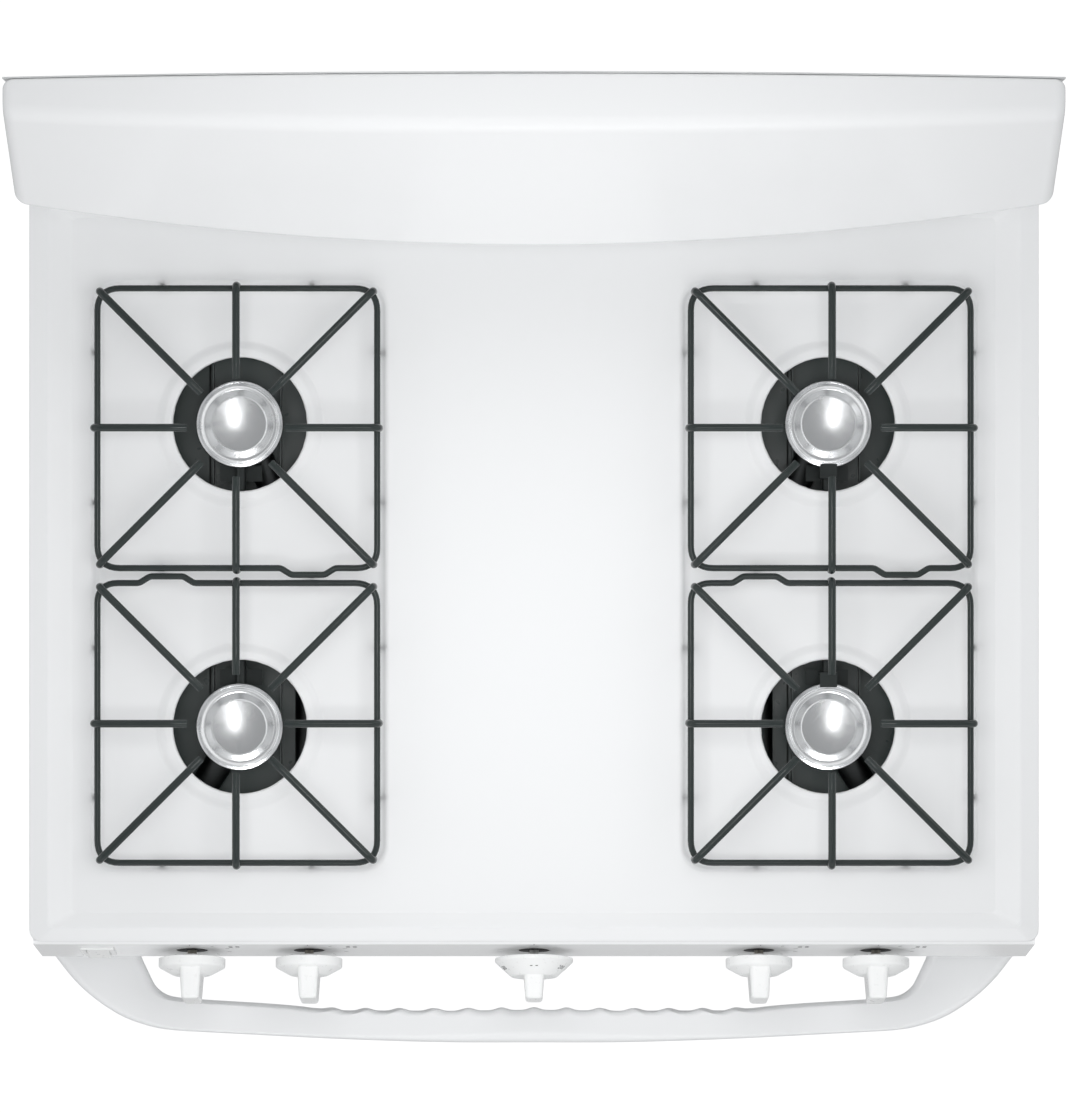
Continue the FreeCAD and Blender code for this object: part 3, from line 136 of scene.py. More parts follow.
def floor_material():
    """A pale seamless floor: near white to the camera, dimmer as a light, darker where it is touched."""
    m, tree, shader = new_material("floor_pale")
    tint = ramp(tree, noise(tree, 0.6, 2.0), [(0.3, (0.33, 0.33, 0.33)), (0.7, (0.37, 0.37, 0.37))])
    tree.links.new(tint, shader.inputs["Base Color"])
    shader.inputs["Roughness"].default_value = 0.95
    shader.inputs["Specular IOR Level"].default_value = 0.1
    shader.inputs["Emission Color"].default_value = (1, 1, 1, 1)
    ray = tree.nodes.new("ShaderNodeLightPath")
    tree.links.new(spread(tree, ray.outputs["Is Camera Ray"], 0.26, 0.86), shader.inputs["Emission Strength"])
    return m


STREAK_ABOVE = 2.0
STREAK_OUT = 0.085
STREAK_BACK = 0.14


def cap_lights():
    """A strip of light for each cap, mirrored in its dome a little behind and outside the middle."""
    lean = STREAK_ABOVE / CAMERA_ABOVE
    for place, side, _, x, y in burner_places():
        spot = (x + x * lean + side * STREAK_OUT, y + (y - CAMERA_Y) * lean + STREAK_BACK, RIM_Z + STREAK_ABOVE)
        glint("streak_" + place, spot, (spot[0], spot[1], 0), (0.10, 0.36), 0.75, "cap_dome_" + place)


def studio():
    """Soft boxes round the range on a pale floor, and lights that each reach only a few named pieces."""
    sky((0.25, 0.255, 0.26), (0.70, 0.71, 0.72))
    middle = (0, 0, RIM_Z)
    softbox("glow", (0, -0.04, RIM_Z + 1.0), (0, -0.04, 0), (0.75, 0.6), 2.2, mirrored=False, spread_deg=110)
    softbox("key", (0.4, -4.6, 3.4), (0, 0, 0.8), (2.6, 1.6), 13)
    softbox("fill", (-3.4, -1.0, 2.4), (0, 0, 0.7), (1.6, 2.0), 5)
    softbox("rim", (3.0, 2.0, 3.0), (0, 0, 0.9), (1.6, 1.6), 7)
    glint("cap_sky", (0, -0.5, RIM_Z + 2.1), (0, -0.3, 0), (2.6, 2.2), 1.5, "cap_")
    glint("front_light", (0, -1.1, RIM_Z + 1.5), (0, -0.32, RIM_Z - 0.1), (2.2, 0.5), 5.2,
          ("handle_bar", "moulded_", "control_panel", "switch_", "rocker_"))
    glint("box_light", (0, 0, RIM_Z + 1.2), middle, (0.6, 0.4), 2.6, "burner_box")
    glint("cap_side", (0, -1.9, RIM_Z + 1.5), middle, (0.8, 0.9), 24, "cap_ring_")
    glint("cap_top", (0, 0, RIM_Z + 2.0), middle, (1.1, 1.1), 2.6, "cap_ring_")
    cap_lights()
    glint("wire_light", (0, 0, RIM_Z + 1.8), middle, (0.22, 0.22), 3.2, "wire_grate_")
    floor = bpy.data.meshes.new("floor")
    half = 12.0
    corners = [(-half, -half, 0), (half, -half, 0), (half, half, 0), (-half, half, 0)]
    floor.from_pydata(corners, [], [(0, 1, 2, 3)])
    ground = bpy.data.objects.new("floor", floor)
    scene.collection.objects.link(ground)
    floor.materials.append(floor_material())


# ------------------------------------------------------------------ materials
def new_material(name):
    """A node material and its Principled shader."""
    m = bpy.data.materials.new(name)
    m.use_nodes = True
    return m, m.node_tree, m.node_tree.nodes["Principled BSDF"]


def texture_point(tree, scale=(1, 1, 1)):
    """Object-space coordinates, stretched by scale."""
    place = tree.nodes.new("ShaderNodeTexCoord")
    stretch = tree.nodes.new("ShaderNodeMapping")
    stretch.inputs["Scale"].default_value = scale
    tree.links.new(place.outputs["Object"], stretch.inputs["Vector"])
    return stretch.outputs["Vector"]


def noise(tree, scale, detail=3.0, stretch=(1, 1, 1)):
    """A noise texture's factor."""
    n = tree.nodes.new("ShaderNodeTexNoise")
    n.inputs["Scale"].default_value = scale
    n.inputs["Detail"].default_value = detail
    tree.links.new(texture_point(tree, stretch), n.inputs["Vector"])
    return n.outputs["Fac"]


def ramp(tree, source, stops):
    """A colour ramp over source, stops being (position, colour) pairs."""
    node = tree.nodes.new("ShaderNodeValToRGB")
    node.color_ramp.elements[0].position = stops[0][0]
    node.color_ramp.elements[0].color = (*stops[0][1], 1)
    node.color_ramp.elements[1].position = stops[-1][0]
    node.color_ramp.elements[1].color = (*stops[-1][1], 1)
    for position, colour in stops[1:-1]:
        e = node.color_ramp.elements.new(position)
        e.color = (*colour, 1)
    tree.links.new(source, node.inputs["Fac"])
    return node.outputs["Color"]


def spread(tree, source, low, high):
    """source's 0 to 1 mapped to low to high."""
    node = tree.nodes.new("ShaderNodeMapRange")
    node.inputs["To Min"].default_value = low
    node.inputs["To Max"].default_value = high
    tree.links.new(source, node.inputs["Value"])
    return node.outputs["Result"]


def bump(tree, shader, source, distance, strength=1.0):
    """Fine relief from source, distance deep in metres."""
    node = tree.nodes.new("ShaderNodeBump")
    node.inputs["Distance"].default_value = distance
    node.inputs["Strength"].default_value = strength
    tree.links.new(source, node.inputs["Height"])
    tree.links.new(node.outputs["Normal"], shader.inputs["Normal"])


def paint(name, colour, rough=0.4, metal=0.0, vary=0.03, rough_vary=0.08, grain=120.0, relief=0.0):
    """A painted, moulded or plain metal finish with slight mottling in colour, gloss and relief."""
    m, tree, shader = new_material(name)
    mottle = noise(tree, grain * 0.25, 4.0)
    low = tuple(max(0.0, c * (1 - vary)) for c in colour)
    high = tuple(min(1.0, c * (1 + vary)) for c in colour)
    tree.links.new(ramp(tree, mottle, [(0.3, low), (0.7, high)]), shader.inputs["Base Color"])
    fine = noise(tree, grain, 2.0)
    gloss = spread(tree, fine, max(0.02, rough - rough_vary), rough + rough_vary)
    tree.links.new(gloss, shader.inputs["Roughness"])
    shader.inputs["Metallic"].default_value = metal
    if relief:
        bump(tree, shader, fine, relief, 0.5)
    return m


def enamel(name, colour, rough=0.26, speckle=None):
    """Fired porcelain: glossy, with a faint orange peel and, where given, light speckles."""
    m, tree, shader = new_material(name)
    cloud = noise(tree, 3.0, 2.0)
    low = tuple(c * 0.992 for c in colour)
    base = ramp(tree, cloud, [(0.1, low), (0.9, colour)])
    if speckle:
        dots = tree.nodes.new("ShaderNodeTexVoronoi")
        dots.inputs["Scale"].default_value = 420.0
        tree.links.new(texture_point(tree), dots.inputs["Vector"])
        spots = ramp(tree, dots.outputs["Distance"], [(0.12, speckle), (0.17, colour)])
        pick = noise(tree, 160.0, 1.0)
        mix = tree.nodes.new("ShaderNodeMix")
        mix.data_type = "RGBA"
        tree.links.new(ramp(tree, pick, [(0.55, (0, 0, 0)), (0.6, (1, 1, 1))]), mix.inputs["Factor"])
        tree.links.new(base, mix.inputs["A"])
        tree.links.new(spots, mix.inputs["B"])
        base = mix.outputs["Result"]
    tree.links.new(base, shader.inputs["Base Color"])
    peel = noise(tree, 260.0, 2.0)
    tree.links.new(spread(tree, peel, rough - 0.02, rough + 0.02), shader.inputs["Roughness"])
    shader.inputs["Coat Weight"].default_value = 0.2
    shader.inputs["Coat Roughness"].default_value = 0.08
    bump(tree, shader, peel, 0.00003, 0.3)
    return m


def brushed(name, colour, rough):
    """Bare metal with drawn grain."""
    m, tree, shader = new_material(name)
    grain = noise(tree, 60.0, 4.0, (1, 14, 14))
    low = tuple(c * 0.9 for c in colour)
    tree.links.new(ramp(tree, grain, [(0.2, low), (0.8, colour)]), shader.inputs["Base Color"])
    gloss = spread(tree, noise(tree, 30.0, 3.0), rough - 0.06, rough + 0.06)
    tree.links.new(gloss, shader.inputs["Roughness"])
    shader.inputs["Metallic"].default_value = 1.0
    shader.inputs["Anisotropic"].default_value = 0.6
    bump(tree, shader, grain, 0.00002, 0.3)
    return m


def polished(name, colour, rough):
    """Bright metal, near to a mirror."""
    m, tree, shader = new_material(name)
    fine = noise(tree, 90.0, 2.0)
    low = tuple(c * 0.97 for c in colour)
    tree.links.new(ramp(tree, fine, [(0.2, low), (0.8, colour)]), shader.inputs["Base Color"])
    tree.links.new(spread(tree, fine, rough - 0.01, rough + 0.01), shader.inputs["Roughness"])
    shader.inputs["Metallic"].default_value = 1.0
    return m


def glass(name, colour, rough, alpha):
    """Tinted pane glass that the oven can be seen through."""
    m, tree, shader = new_material(name)
    shader.inputs["Base Color"].default_value = (*colour, 1)
    tree.links.new(spread(tree, noise(tree, 12.0, 2.0), rough * 0.5, rough * 1.5), shader.inputs["Roughness"])
    shader.inputs["Alpha"].default_value = alpha
    shader.inputs["Coat Weight"].default_value = 1.0
    shader.inputs["Coat Roughness"].default_value = 0.02
    return m


def wool(name, colour):
    """Matted glass wool."""
    m, tree, shader = new_material(name)
    tufts = noise(tree, 45.0, 8.0)
    dark = tuple(c * 0.6 for c in colour)
    tree.links.new(ramp(tree, tufts, [(0.3, dark), (0.7, colour)]), shader.inputs["Base Color"])
    shader.inputs["Roughness"].default_value = 0.95
    shader.inputs["Sheen Weight"].default_value = 0.3
    bump(tree, shader, tufts, 0.003, 0.8)
    return m


WHITE = (0.93, 0.935, 0.94)
MATERIALS = {
    "white_enamel": enamel("white_enamel", WHITE),
    "white_handle": enamel("white_handle", (0.90, 0.905, 0.91), 0.3),
    "white_plastic": paint("white_plastic", (0.9, 0.905, 0.9), 0.3, vary=0.01, grain=300, relief=0.00002),
    "galvanised_sheet": paint("galvanised_sheet", (0.78, 0.79, 0.79), 0.45, 0.3, 0.06, 0.08, 30),
    "dark_enamel": enamel("dark_enamel", (0.075, 0.088, 0.086), 0.3, (0.20, 0.22, 0.24)),
    "dark_steel": paint("dark_steel", (0.04, 0.046, 0.045), 0.35, 0.4, 0.2, 0.05, 90),
    "black_paint": paint("black_paint", (0.018, 0.021, 0.02), 0.4, vary=0.3, grain=80, relief=0.00004),
    "grate_enamel": paint("grate_enamel", (0.021, 0.028, 0.027), 0.25, vary=0.04, rough_vary=0.02, grain=200),
    "burner_metal": brushed("burner_metal", (0.2, 0.21, 0.21), 0.45),
    "cap_metal": polished("cap_metal", (0.86, 0.87, 0.88), 0.19),
    "cap_ring_metal": polished("cap_ring_metal", (0.9, 0.91, 0.92), 0.27),
    "box_enamel": paint("box_enamel", (0.05, 0.068, 0.066), 0.3, vary=0.08, grain=60),
    "plain_steel": brushed("plain_steel", (0.5, 0.5, 0.49), 0.4),
    "valve_metal": brushed("valve_metal", (0.36, 0.34, 0.30), 0.4),
    "rack_wire": paint("rack_wire", (0.75, 0.75, 0.76), 0.16, 1.0, 0.05, 0.05, 60),
    "igniter": paint("igniter", (0.16, 0.16, 0.17), 0.85, vary=0.2, grain=300, relief=0.0001),
    "lamp_glass": glass("lamp_glass", (0.95, 0.95, 0.92), 0.15, 0.5),
    "window_glass": glass("window_glass", (0.02, 0.02, 0.022), 0.03, 0.55),
    "seal": wool("seal", (0.3, 0.3, 0.29)),
    "glass_wool": wool("glass_wool", (0.85, 0.72, 0.36)),
    "screw_steel": brushed("screw_steel", (0.6, 0.6, 0.6), 0.3),
    "black_plastic": paint("black_plastic", (0.02, 0.02, 0.02), 0.55, vary=0.2, grain=300, relief=0.00004),
    "leg_metal": brushed("leg_metal", (0.55, 0.55, 0.54), 0.35),
    "print_grey": paint("print_grey", (0.12, 0.12, 0.125), 0.5, vary=0.1, grain=400),
}


# ------------------------------------------------------------------ mesh helpers
def arc_points(centre, r, start, end, count):
    """Points on an arc, angles in degrees."""
    angles = [math.radians(start + (end - start) * i / (count - 1)) for i in range(count)]
    return [(centre[0] + r * math.cos(a), centre[1] + r * math.sin(a)) for a in angles]


def rounded_rect(x0, x1, y0, y1, r, count=9):
    """A rounded rectangle's outline, anticlockwise."""
    r = max(r, 0.0002)
    points = arc_points((x1 - r, y0 + r), r, -90, 0, count)
    points += arc_points((x1 - r, y1 - r), r, 0, 90, count)
    points += arc_points((x0 + r, y1 - r), r, 90, 180, count)
    points += arc_points((x0 + r, y0 + r), r, 180, 270, count)
    return points


def fillet_path(points, radii, steps=6, closed=False):
    """3-D corner points joined by straight runs and smooth bends of about the given radii."""
    pts = [Vector(p) for p in points]
    n = len(pts)
    path = []
    for i, p in enumerate(pts):
        if not closed and i in (0, n - 1):
            path.append(p)
            continue
        a = pts[i - 1] - p
        b = pts[(i + 1) % n] - p
        turn = math.pi - a.angle(b)
        cut = radii[i] * math.tan(turn / 2)
        cut = min(cut, a.length * 0.49, b.length * 0.49)
        start = p + a.normalized() * cut
        end = p + b.normalized() * cut
        for k in range(steps + 1):
            t = k / steps
            path.append(start * (1 - t) ** 2 + p * 2 * t * (1 - t) + end * t ** 2)
    return path


def shell(stations, closed_ends=True, loop=False):
    """Verts and faces of a skin over a row of rings that have equal counts of points."""
    count = len(stations[0])
    verts = [tuple(p) for ring in stations for p in ring]
    faces = []
    rows = len(stations)
    for i in range(rows if loop else rows - 1):
        a = i * count
        b = ((i + 1) % rows) * count
        for j in range(count):
            k = (j + 1) % count
            faces.append((a + j, a + k, b + k, b + j))
    if closed_ends and not loop:
        faces.append(tuple(reversed(range(count))))
        faces.append(tuple(range((rows - 1) * count, rows * count)))
    return verts, faces


def tube(path, r, sides=14, loop=False, domed=True):
    """A round bar along a path, with domed ends unless it is a loop."""
    path = [Vector(p) for p in path]
    n = len(path)
    normal = None
    rings = []
    for i, p in enumerate(path):
        if loop:
            t = (path[(i + 1) % n] - path[i - 1]).normalized()
        else:
            t = (path[min(i + 1, n - 1)] - path[max(i - 1, 0)]).normalized()
        if normal is None:
            normal = t.orthogonal().normalized()
        normal = (normal - t * normal.dot(t)).normalized()
        side = t.cross(normal)
        places = [(p, r)]
        if domed and not loop and i in (0, n - 1):
            out = -t if i == 0 else t
            angles = [math.radians(a) for a in (30, 58, 80)]
            caps = [(p + out * r * math.sin(a), r * math.cos(a)) for a in angles]
            places = list(reversed(caps)) + places if i == 0 else places + caps
        for q, radius in places:
            ring = []
            for k in range(sides):
                a = 2 * math.pi * k / sides
                ring.append(q + (normal * math.cos(a) + side * math.sin(a)) * radius)
            rings.append(ring)
    return shell(rings, True, loop)


def lathe(profile, centre=(0, 0, 0), sides=96):
    """A turned skin from (radius, height) points; a zero radius closes it."""
    verts, faces, rings = [], [], []
    for r, h in profile:
        start = len(verts)
        if r < 1e-7:
            verts.append((centre[0], centre[1], centre[2] + h))
            rings.append([start] * sides)
            continue
        for k in range(sides):
            a = 2 * math.pi * k / sides
            verts.append((centre[0] + r * math.cos(a), centre[1] + r * math.sin(a), centre[2] + h))
        rings.append(list(range(start, start + sides)))
    for low, high in zip(rings, rings[1:]):
        for k in range(sides):
            m = (k + 1) % sides
            face = [low[k], low[m], high[m], high[k]]
            faces.append(tuple(dict.fromkeys(face)))
    return verts, [f for f in faces if len(f) > 2]


def soften_profile(points, radii, steps=4):
    """A lathe profile with its corners rounded."""
    path = fillet_path([(r, 0, h) for r, h in points], radii, steps)
    return [(p.x, p.z) for p in path]


def joined(pieces):
    """Several (verts, faces) as one."""
    verts, faces = [], []
    for v, f in pieces:
        start = len(verts)
        verts += [tuple(p) for p in v]
        faces += [tuple(i + start for i in face) for face in f]
    return verts, faces


def block(low, high):
    """A box between two opposite corners."""
    bm = bmesh.new()
    bmesh.ops.create_cube(bm, size=1.0)
    low, high = Vector(low), Vector(high)
    for v in bm.verts:
        v.co = Vector([low[i] + (v.co[i] + 0.5) * (high[i] - low[i]) for i in range(3)])
    bm.verts.ensure_lookup_table()
    verts = [tuple(v.co) for v in bm.verts]
    faces = [tuple(v.index for v in f.verts) for f in bm.faces]
    bm.free()
    return verts, faces


def moved(piece, place):
    """(verts, faces) carried by a matrix."""
    verts, faces = piece
    return [tuple(place @ Vector(v)) for v in verts], faces


def make(name, geometry, body, slot, replaced=(), crease=40, at=(0, 0, 0), finish=None):
    """A visible piece from (verts, faces), riding on a body and standing for CAD nodes."""
    verts, faces = geometry
    mesh = bpy.data.meshes.new(name)
    mesh.from_pydata([tuple(v) for v in verts], [], faces)
    bm = bmesh.new()
    bm.from_mesh(mesh)
    bmesh.ops.remove_doubles(bm, verts=bm.verts, dist=1e-6)
    bmesh.ops.recalc_face_normals(bm, faces=bm.faces)
    bm.to_mesh(mesh)
    bm.free()
    mesh.materials.append(MATERIALS[finish or slot])
    mesh.shade_smooth()
    mesh.set_sharp_from_angle(angle=math.radians(crease))
    piece = bpy.data.objects.new(name, mesh)
    piece.location = at
    scene.collection.objects.link(piece)
    even = piece.modifiers.new("even_normals", "WEIGHTED_NORMAL")
    even.keep_sharp = True
    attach(piece, body)
    if replaced:
        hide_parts(*replaced)
    return piece


# ------------------------------------------------------------------ cooktop
WELL_X = (111.3 * MM, 333.6 * MM)
WELL_Y = (-218.0 * MM, 226.3 * MM)
WELL_CORNER = 19.0 * MM
WELL_DROP = 12.6 * MM
BURNER_X = 222.25 * MM
BURNER_Y = (-109.8 * MM, 118.8 * MM)
HOLE_R = 50.6 * MM
NECK = 3.5 * MM         # height of the neck under a hole's rolled lip
FRONT_Y = -240.0 * MM   # forward of this line the outer flange is the short one
SHEET = 1.2 * MM


def ease(t):
    """A smooth step from 0 to 1."""
    t = min(1.0, max(0.0, t))
    return t * t * (3 - 2 * t)


def burner_places():
    """Name, side, row and centre of the four burners."""
    for place in PLACES:
        side_name, row_name = place.split("_")
        side = SIDE[side_name]
        row = 0 if row_name == "front" else 1
        yield place, side, row, side * BURNER_X, BURNER_Y[row]


def relief(points, radii):
    """A section line of (inset, height) points in metres, with its corners rounded."""
    path = fillet_path([(i * MM, 0, h * MM) for i, h in points], [r * MM for r in radii], 7)
    return [(p.x, p.z) for p in path]


def rim_loops():
    """Nested outlines of the cooktop's raised rim, with their heights below the ridge."""
    ridge, ridge_front = 14.2 * MM, 10.8 * MM
    section = relief([(0, -7.5), (0, -5.2), (14.2, 0.3), (33, -4), (36, -4)], [0, 3.2, 3.0, 5, 0])
    for inset, height in section[1:]:
        front = inset * ridge_front / ridge if inset <= ridge else ridge_front + (inset - ridge) * 0.58
        outline = rounded_rect(-HALF_WIDTH + inset, HALF_WIDTH - inset, TOP_FRONT + front, TOP_REAR - front,
                               max(9 * MM - inset * 0.3, 4 * MM))
        yield outline, min(height, 0.0)


def well_loops(side):
    """Nested outlines of one grate well, with their heights below the ridge."""
    section = relief([(-5, -4), (0.3, -4), (3.9, -12.6), (16, -13.0), (24, -13.0)], [0, 4.5, 6.0, 40, 0])
    for inset, height in section:
        x0, x1 = sorted((side * (WELL_X[0] + inset), side * (WELL_X[1] - inset)))
        outline = rounded_rect(x0, x1, WELL_Y[0] + inset, WELL_Y[1] - inset, WELL_CORNER - inset * 0.6, 11)
        yield outline, height


COLLAR_R = 64.0 * MM
COLLAR_SLOPE = 8.0 * MM
COLLAR_RISE = 3.1 * MM
COLLAR_LIP = 2.0 * MM
COLLAR_SIDES = 72


def collar_loops():
    """Radii and heights of the raised ring and rolled lip round a burner hole."""
    floor = -WELL_DROP - 0.4 * MM
    loops = [(COLLAR_R - COLLAR_SLOPE * k / 8, floor + COLLAR_RISE * ease(k / 8)) for k in range(9)]
    for k in range(6):
        a = math.radians(90 * k / 5)
        r = HOLE_R + COLLAR_LIP * (1 - math.sin(a))
        loops.append((r, floor + COLLAR_RISE - COLLAR_LIP * (1 - math.cos(a))))
    return loops


def hole_ring(x, y, r):
    """Even points round a burner hole."""
    return arc_points((x, y), r, 0, 360 * (COLLAR_SIDES - 1) / COLLAR_SIDES, COLLAR_SIDES)


def stamped_skin(rim):
    """The top's relief as triangles between its own relief lines, open at the burner holes."""
    flat, heights, lines = [], [], []
    loops = list(rim) + list(well_loops(-1)) + list(well_loops(1))
    for _, _, _, x, y in burner_places():
        loops += [(hole_ring(x, y, r), height) for r, height in collar_loops()]
    for outline, height in loops:
        start = len(flat)
        for i, p in enumerate(outline):
            flat.append(Vector(p))
            heights.append(height)
            lines.append((start + i, start + (i + 1) % len(outline)))
    points, _, triangles, origin, _, _ = delaunay_2d_cdt(flat, lines, [], 0, 1e-7)
    verts = [(p.x, p.y, RIM_Z + heights[src[0]]) for p, src in zip(points, origin)]
    holes = [Vector((x, y)) for _, _, _, x, y in burner_places()]
    faces = []
    for tri in triangles:
        middle = sum((points[i] for i in tri), Vector((0, 0))) / 3
        if all((middle - hole).length > HOLE_R * 0.995 for hole in holes):
            faces.append(tuple(tri))
    return verts, faces


def turned_down_edges(rim):
    """The outer flange, shorter along the front, and the short necks of the burner holes."""
    edge, height = rim[0]
    front_flange = RIM_Z - 7.5 * MM
    ring_top = [(x, y, RIM_Z + height) for x, y in edge]
    ring_low = [(x, y, front_flange if y < FRONT_Y else FLANGE_Z) for x, y in edge]
    skins = [shell([ring_top, ring_low], False)]
    for _, _, _, x, y in burner_places():
        r, height = collar_loops()[-1]
        top = [(px, py, RIM_Z + height) for px, py in hole_ring(x, y, r)]
        skins.append(shell([top, [(px, py, pz - NECK) for px, py, pz in top]], False))
    return skins


def cooktop():
    """The stamped top, meshed along its own relief lines so that every bend shades smoothly."""
    rim = list(rim_loops())
    skin = joined([stamped_skin(rim)] + turned_down_edges(rim))
    piece = make("cooktop_enamel", skin, "cooktop", "white_enamel", ["cooktop"])
    gauge = piece.modifiers.new("gauge", "SOLIDIFY")
    gauge.thickness = SHEET
    gauge.offset = -1
    piece.modifiers.move(1, 0)


# ------------------------------------------------------------------ grates
GRATE_X = 222.5 * MM
GRATE_Y = (-106.0 * MM, 115.0 * MM)
WELL_FLOOR = RIM_Z - WELL_DROP
WIRE_R = 2.4 * MM
WIRE_LINE = 104.9 * MM
WIRE_H = 31.0 * MM
WIRE_CORNER = 17.0 * MM
JOG = 5.0 * MM
JOG_X = (73.5 * MM, 65.5 * MM, 40.5 * MM, 32.5 * MM)
FINGER_R = 2.9 * MM
FINGER_TOP = 51.0 * MM
FINGER_REACH = (109.4 * MM, 147.4 * MM)
FOOT_OFF = 56.0 * MM
FOOT_R = 2.0 * MM


def grate_frame_path():
    """The frame wire's line: bent corners, and the offset stretch on the +Y side."""
    h, z = WIRE_LINE, WIRE_H
    corners = [(h, -h, z), (h, h, z), (JOG_X[0], h, z), (JOG_X[1], h + JOG, z), (JOG_X[2], h + JOG, z),
               (JOG_X[3], h, z), (-h, h, z), (-h, -h, z)]
    radii = [WIRE_CORNER, WIRE_CORNER, 7 * MM, 7 * MM, 7 * MM, 7 * MM, WIRE_CORNER, WIRE_CORNER]
    return fillet_path(corners, radii, 8, closed=True)


def finger_path(reach):
    """A finger along +X, bent down at its outer end to sit over the frame wire."""
    top = FINGER_TOP - FINGER_R
    outer = reach - FINGER_R
    corners = [(36.8 * MM, 0, top - 1.4 * MM), (47 * MM, 0, top), (outer, 0, top),
               (outer, 0, WIRE_H + 1 * MM)]
    return fillet_path(corners, [0, 30 * MM, 6.5 * MM, 0], 7)


def grate_geometry():
    """One wire grate round the origin, standing on z = 0."""
    wires = [tube(grate_frame_path(), WIRE_R, 14, loop=True)]
    for i in range(8):
        turn = Matrix.Rotation(math.radians(45 * i), 4, "Z")
        wires.append(moved(tube(finger_path(FINGER_REACH[i % 2]), FINGER_R, 18, domed=False), turn))
    return joined(wires)


def grate_feet(place):
    """The grate's eight feet, set by its place and splayed a little outwards from the range's middle."""
    splay = 1 + WIRE_H / CAMERA_ABOVE
    feet = []
    for s in (-1, 1):
        for t in (-1, 1):
            outset = JOG if (s, t) == (1, 1) else 0
            for x, y in ((s * WIRE_LINE, t * FOOT_OFF), (t * FOOT_OFF, s * WIRE_LINE + outset)):
                top = place @ Vector((x, y, WIRE_H))
                low = Vector((top.x * splay, top.y * splay, WELL_FLOOR + FOOT_R))
                feet.append(tube([low, top], FOOT_R, 12))
    return joined(feet)


def grates():
    """Four grates; the offset stretches of each pair face one another."""
    base = grate_geometry()
    for place, side, row, _, _ in burner_places():
        flip = Matrix.Scale(-1, 4, (1, 0, 0))
        turn = Matrix.Rotation(math.pi * row, 4, "Z")
        spot = Matrix.Translation((side * GRATE_X, GRATE_Y[row], WELL_FLOOR)) @ turn @ flip
        name = "grate_" + place
        wires = joined([moved(base, spot), grate_feet(spot)])
        make("wire_" + name, wires, name, "grate_enamel", [name], crease=60)


# ------------------------------------------------------------------ burner caps
HEAD_TOP = RIM_Z - 12.0 * MM
DOME_R = 20.0
DOME_PROFILE = [(0, 11.35), (6, 11.28), (13, 11.0), (DOME_R, 10.45), (DOME_R, 9.0), (0, 9.0)]
RING_PROFILE = [(DOME_R, 10.4), (20.5, 10.85), (21.1, 10.8), (21.5, 10.1), (25.6, 8.45), (26.0, 8.4),
                (27.0, 8.85), (28.6, 8.9), (29.3, 8.4), (29.5, 6.4), (30.1, 6.35), (31.2, 6.9), (32.2, 6.5),
                (32.8, 5.7), (32.9, 4.9), (32.7, 4.25), (27.6, 4.2), (27.5, 0.1), (DOME_R, 0.1), (DOME_R, 10.4)]
CAP_PARTS = (("dome", DOME_PROFILE, "cap_metal"), ("ring", RING_PROFILE, "cap_ring_metal"))


def burner_caps():
    """Bright caps, each a polished dome in a turned ring; their profiles are in millimetres."""
    for place, _, _, x, y in burner_places():
        for part, profile, finish in CAP_PARTS:
            skin = lathe([(r * MM, h * MM) for r, h in profile], sides=128)
            piece = make("cap_%s_%s" % (part, place), skin, "chassis", "burner_metal", crease=30,
                         at=(x, y, HEAD_TOP), finish=finish)
            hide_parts("burner_caps")


SHADE_LINE_X = 27.0 * MM
SHADE_LINE_REACH = 56.0 * MM


def box_seams():
    """Two thin dark strips on the burner box's floor under each hole: painted shade along its pressed lines."""
    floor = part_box("burner_box")[0].z + SHEET
    lines = []
    for _, _, _, x, y in burner_places():
        for s in (-1, 1):
            # black strips that paint the shade of the box floor's pressed lines
            middle = x + s * SHADE_LINE_X
            lines.append(block((middle - 0.7 * MM, y - SHADE_LINE_REACH, floor),
                               (middle + 0.7 * MM, y + SHADE_LINE_REACH, floor + 0.3 * MM)))
    make("box_seams", joined(lines), "chassis", "black_paint", crease=30)


# ------------------------------------------------------------------ backguard
GUARD_LOW, GUARD_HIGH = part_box("backguard")
GUARD_LIP_Y = (GUARD_LOW.y, 276.7 * MM)
GUARD_CROWN_Y = (321.9 * MM, 334.7 * MM)
GUARD_CROWN_Z = (GUARD_HIGH.z, RIM_Z + 188.0 * MM)
GUARD_LIP_Z = RIM_Z + 98.0 * MM
GUARD_FOOT_Y = 292.0 * MM


def bowed(middle_end, x):
    """A parabola's value at x, from its values at the middle and at the ends."""
    return middle_end[0] + (middle_end[1] - middle_end[0]) * (x / HALF_WIDTH) ** 2


def guard_section(x, inset):
    """The backguard's rounded outline at x, its front and top drawn in by inset."""
    lip_y = bowed(GUARD_LIP_Y, x) + inset
    crown_y = bowed(GUARD_CROWN_Y, x) + inset * 0.6
    crown_z = bowed(GUARD_CROWN_Z, x) - inset * 0.8
    rear, floor = GUARD_HIGH.y - inset * 0.75, GUARD_LOW.z
    corners = [(x, lip_y, GUARD_LIP_Z), (x, crown_y, crown_z), (x, rear, crown_z), (x, rear, floor),
               (x, GUARD_FOOT_Y + inset * 0.3, floor)]
    return fillet_path(corners, [5 * MM, 16 * MM, 2.5 * MM, 1 * MM, 5 * MM], 8, closed=True)


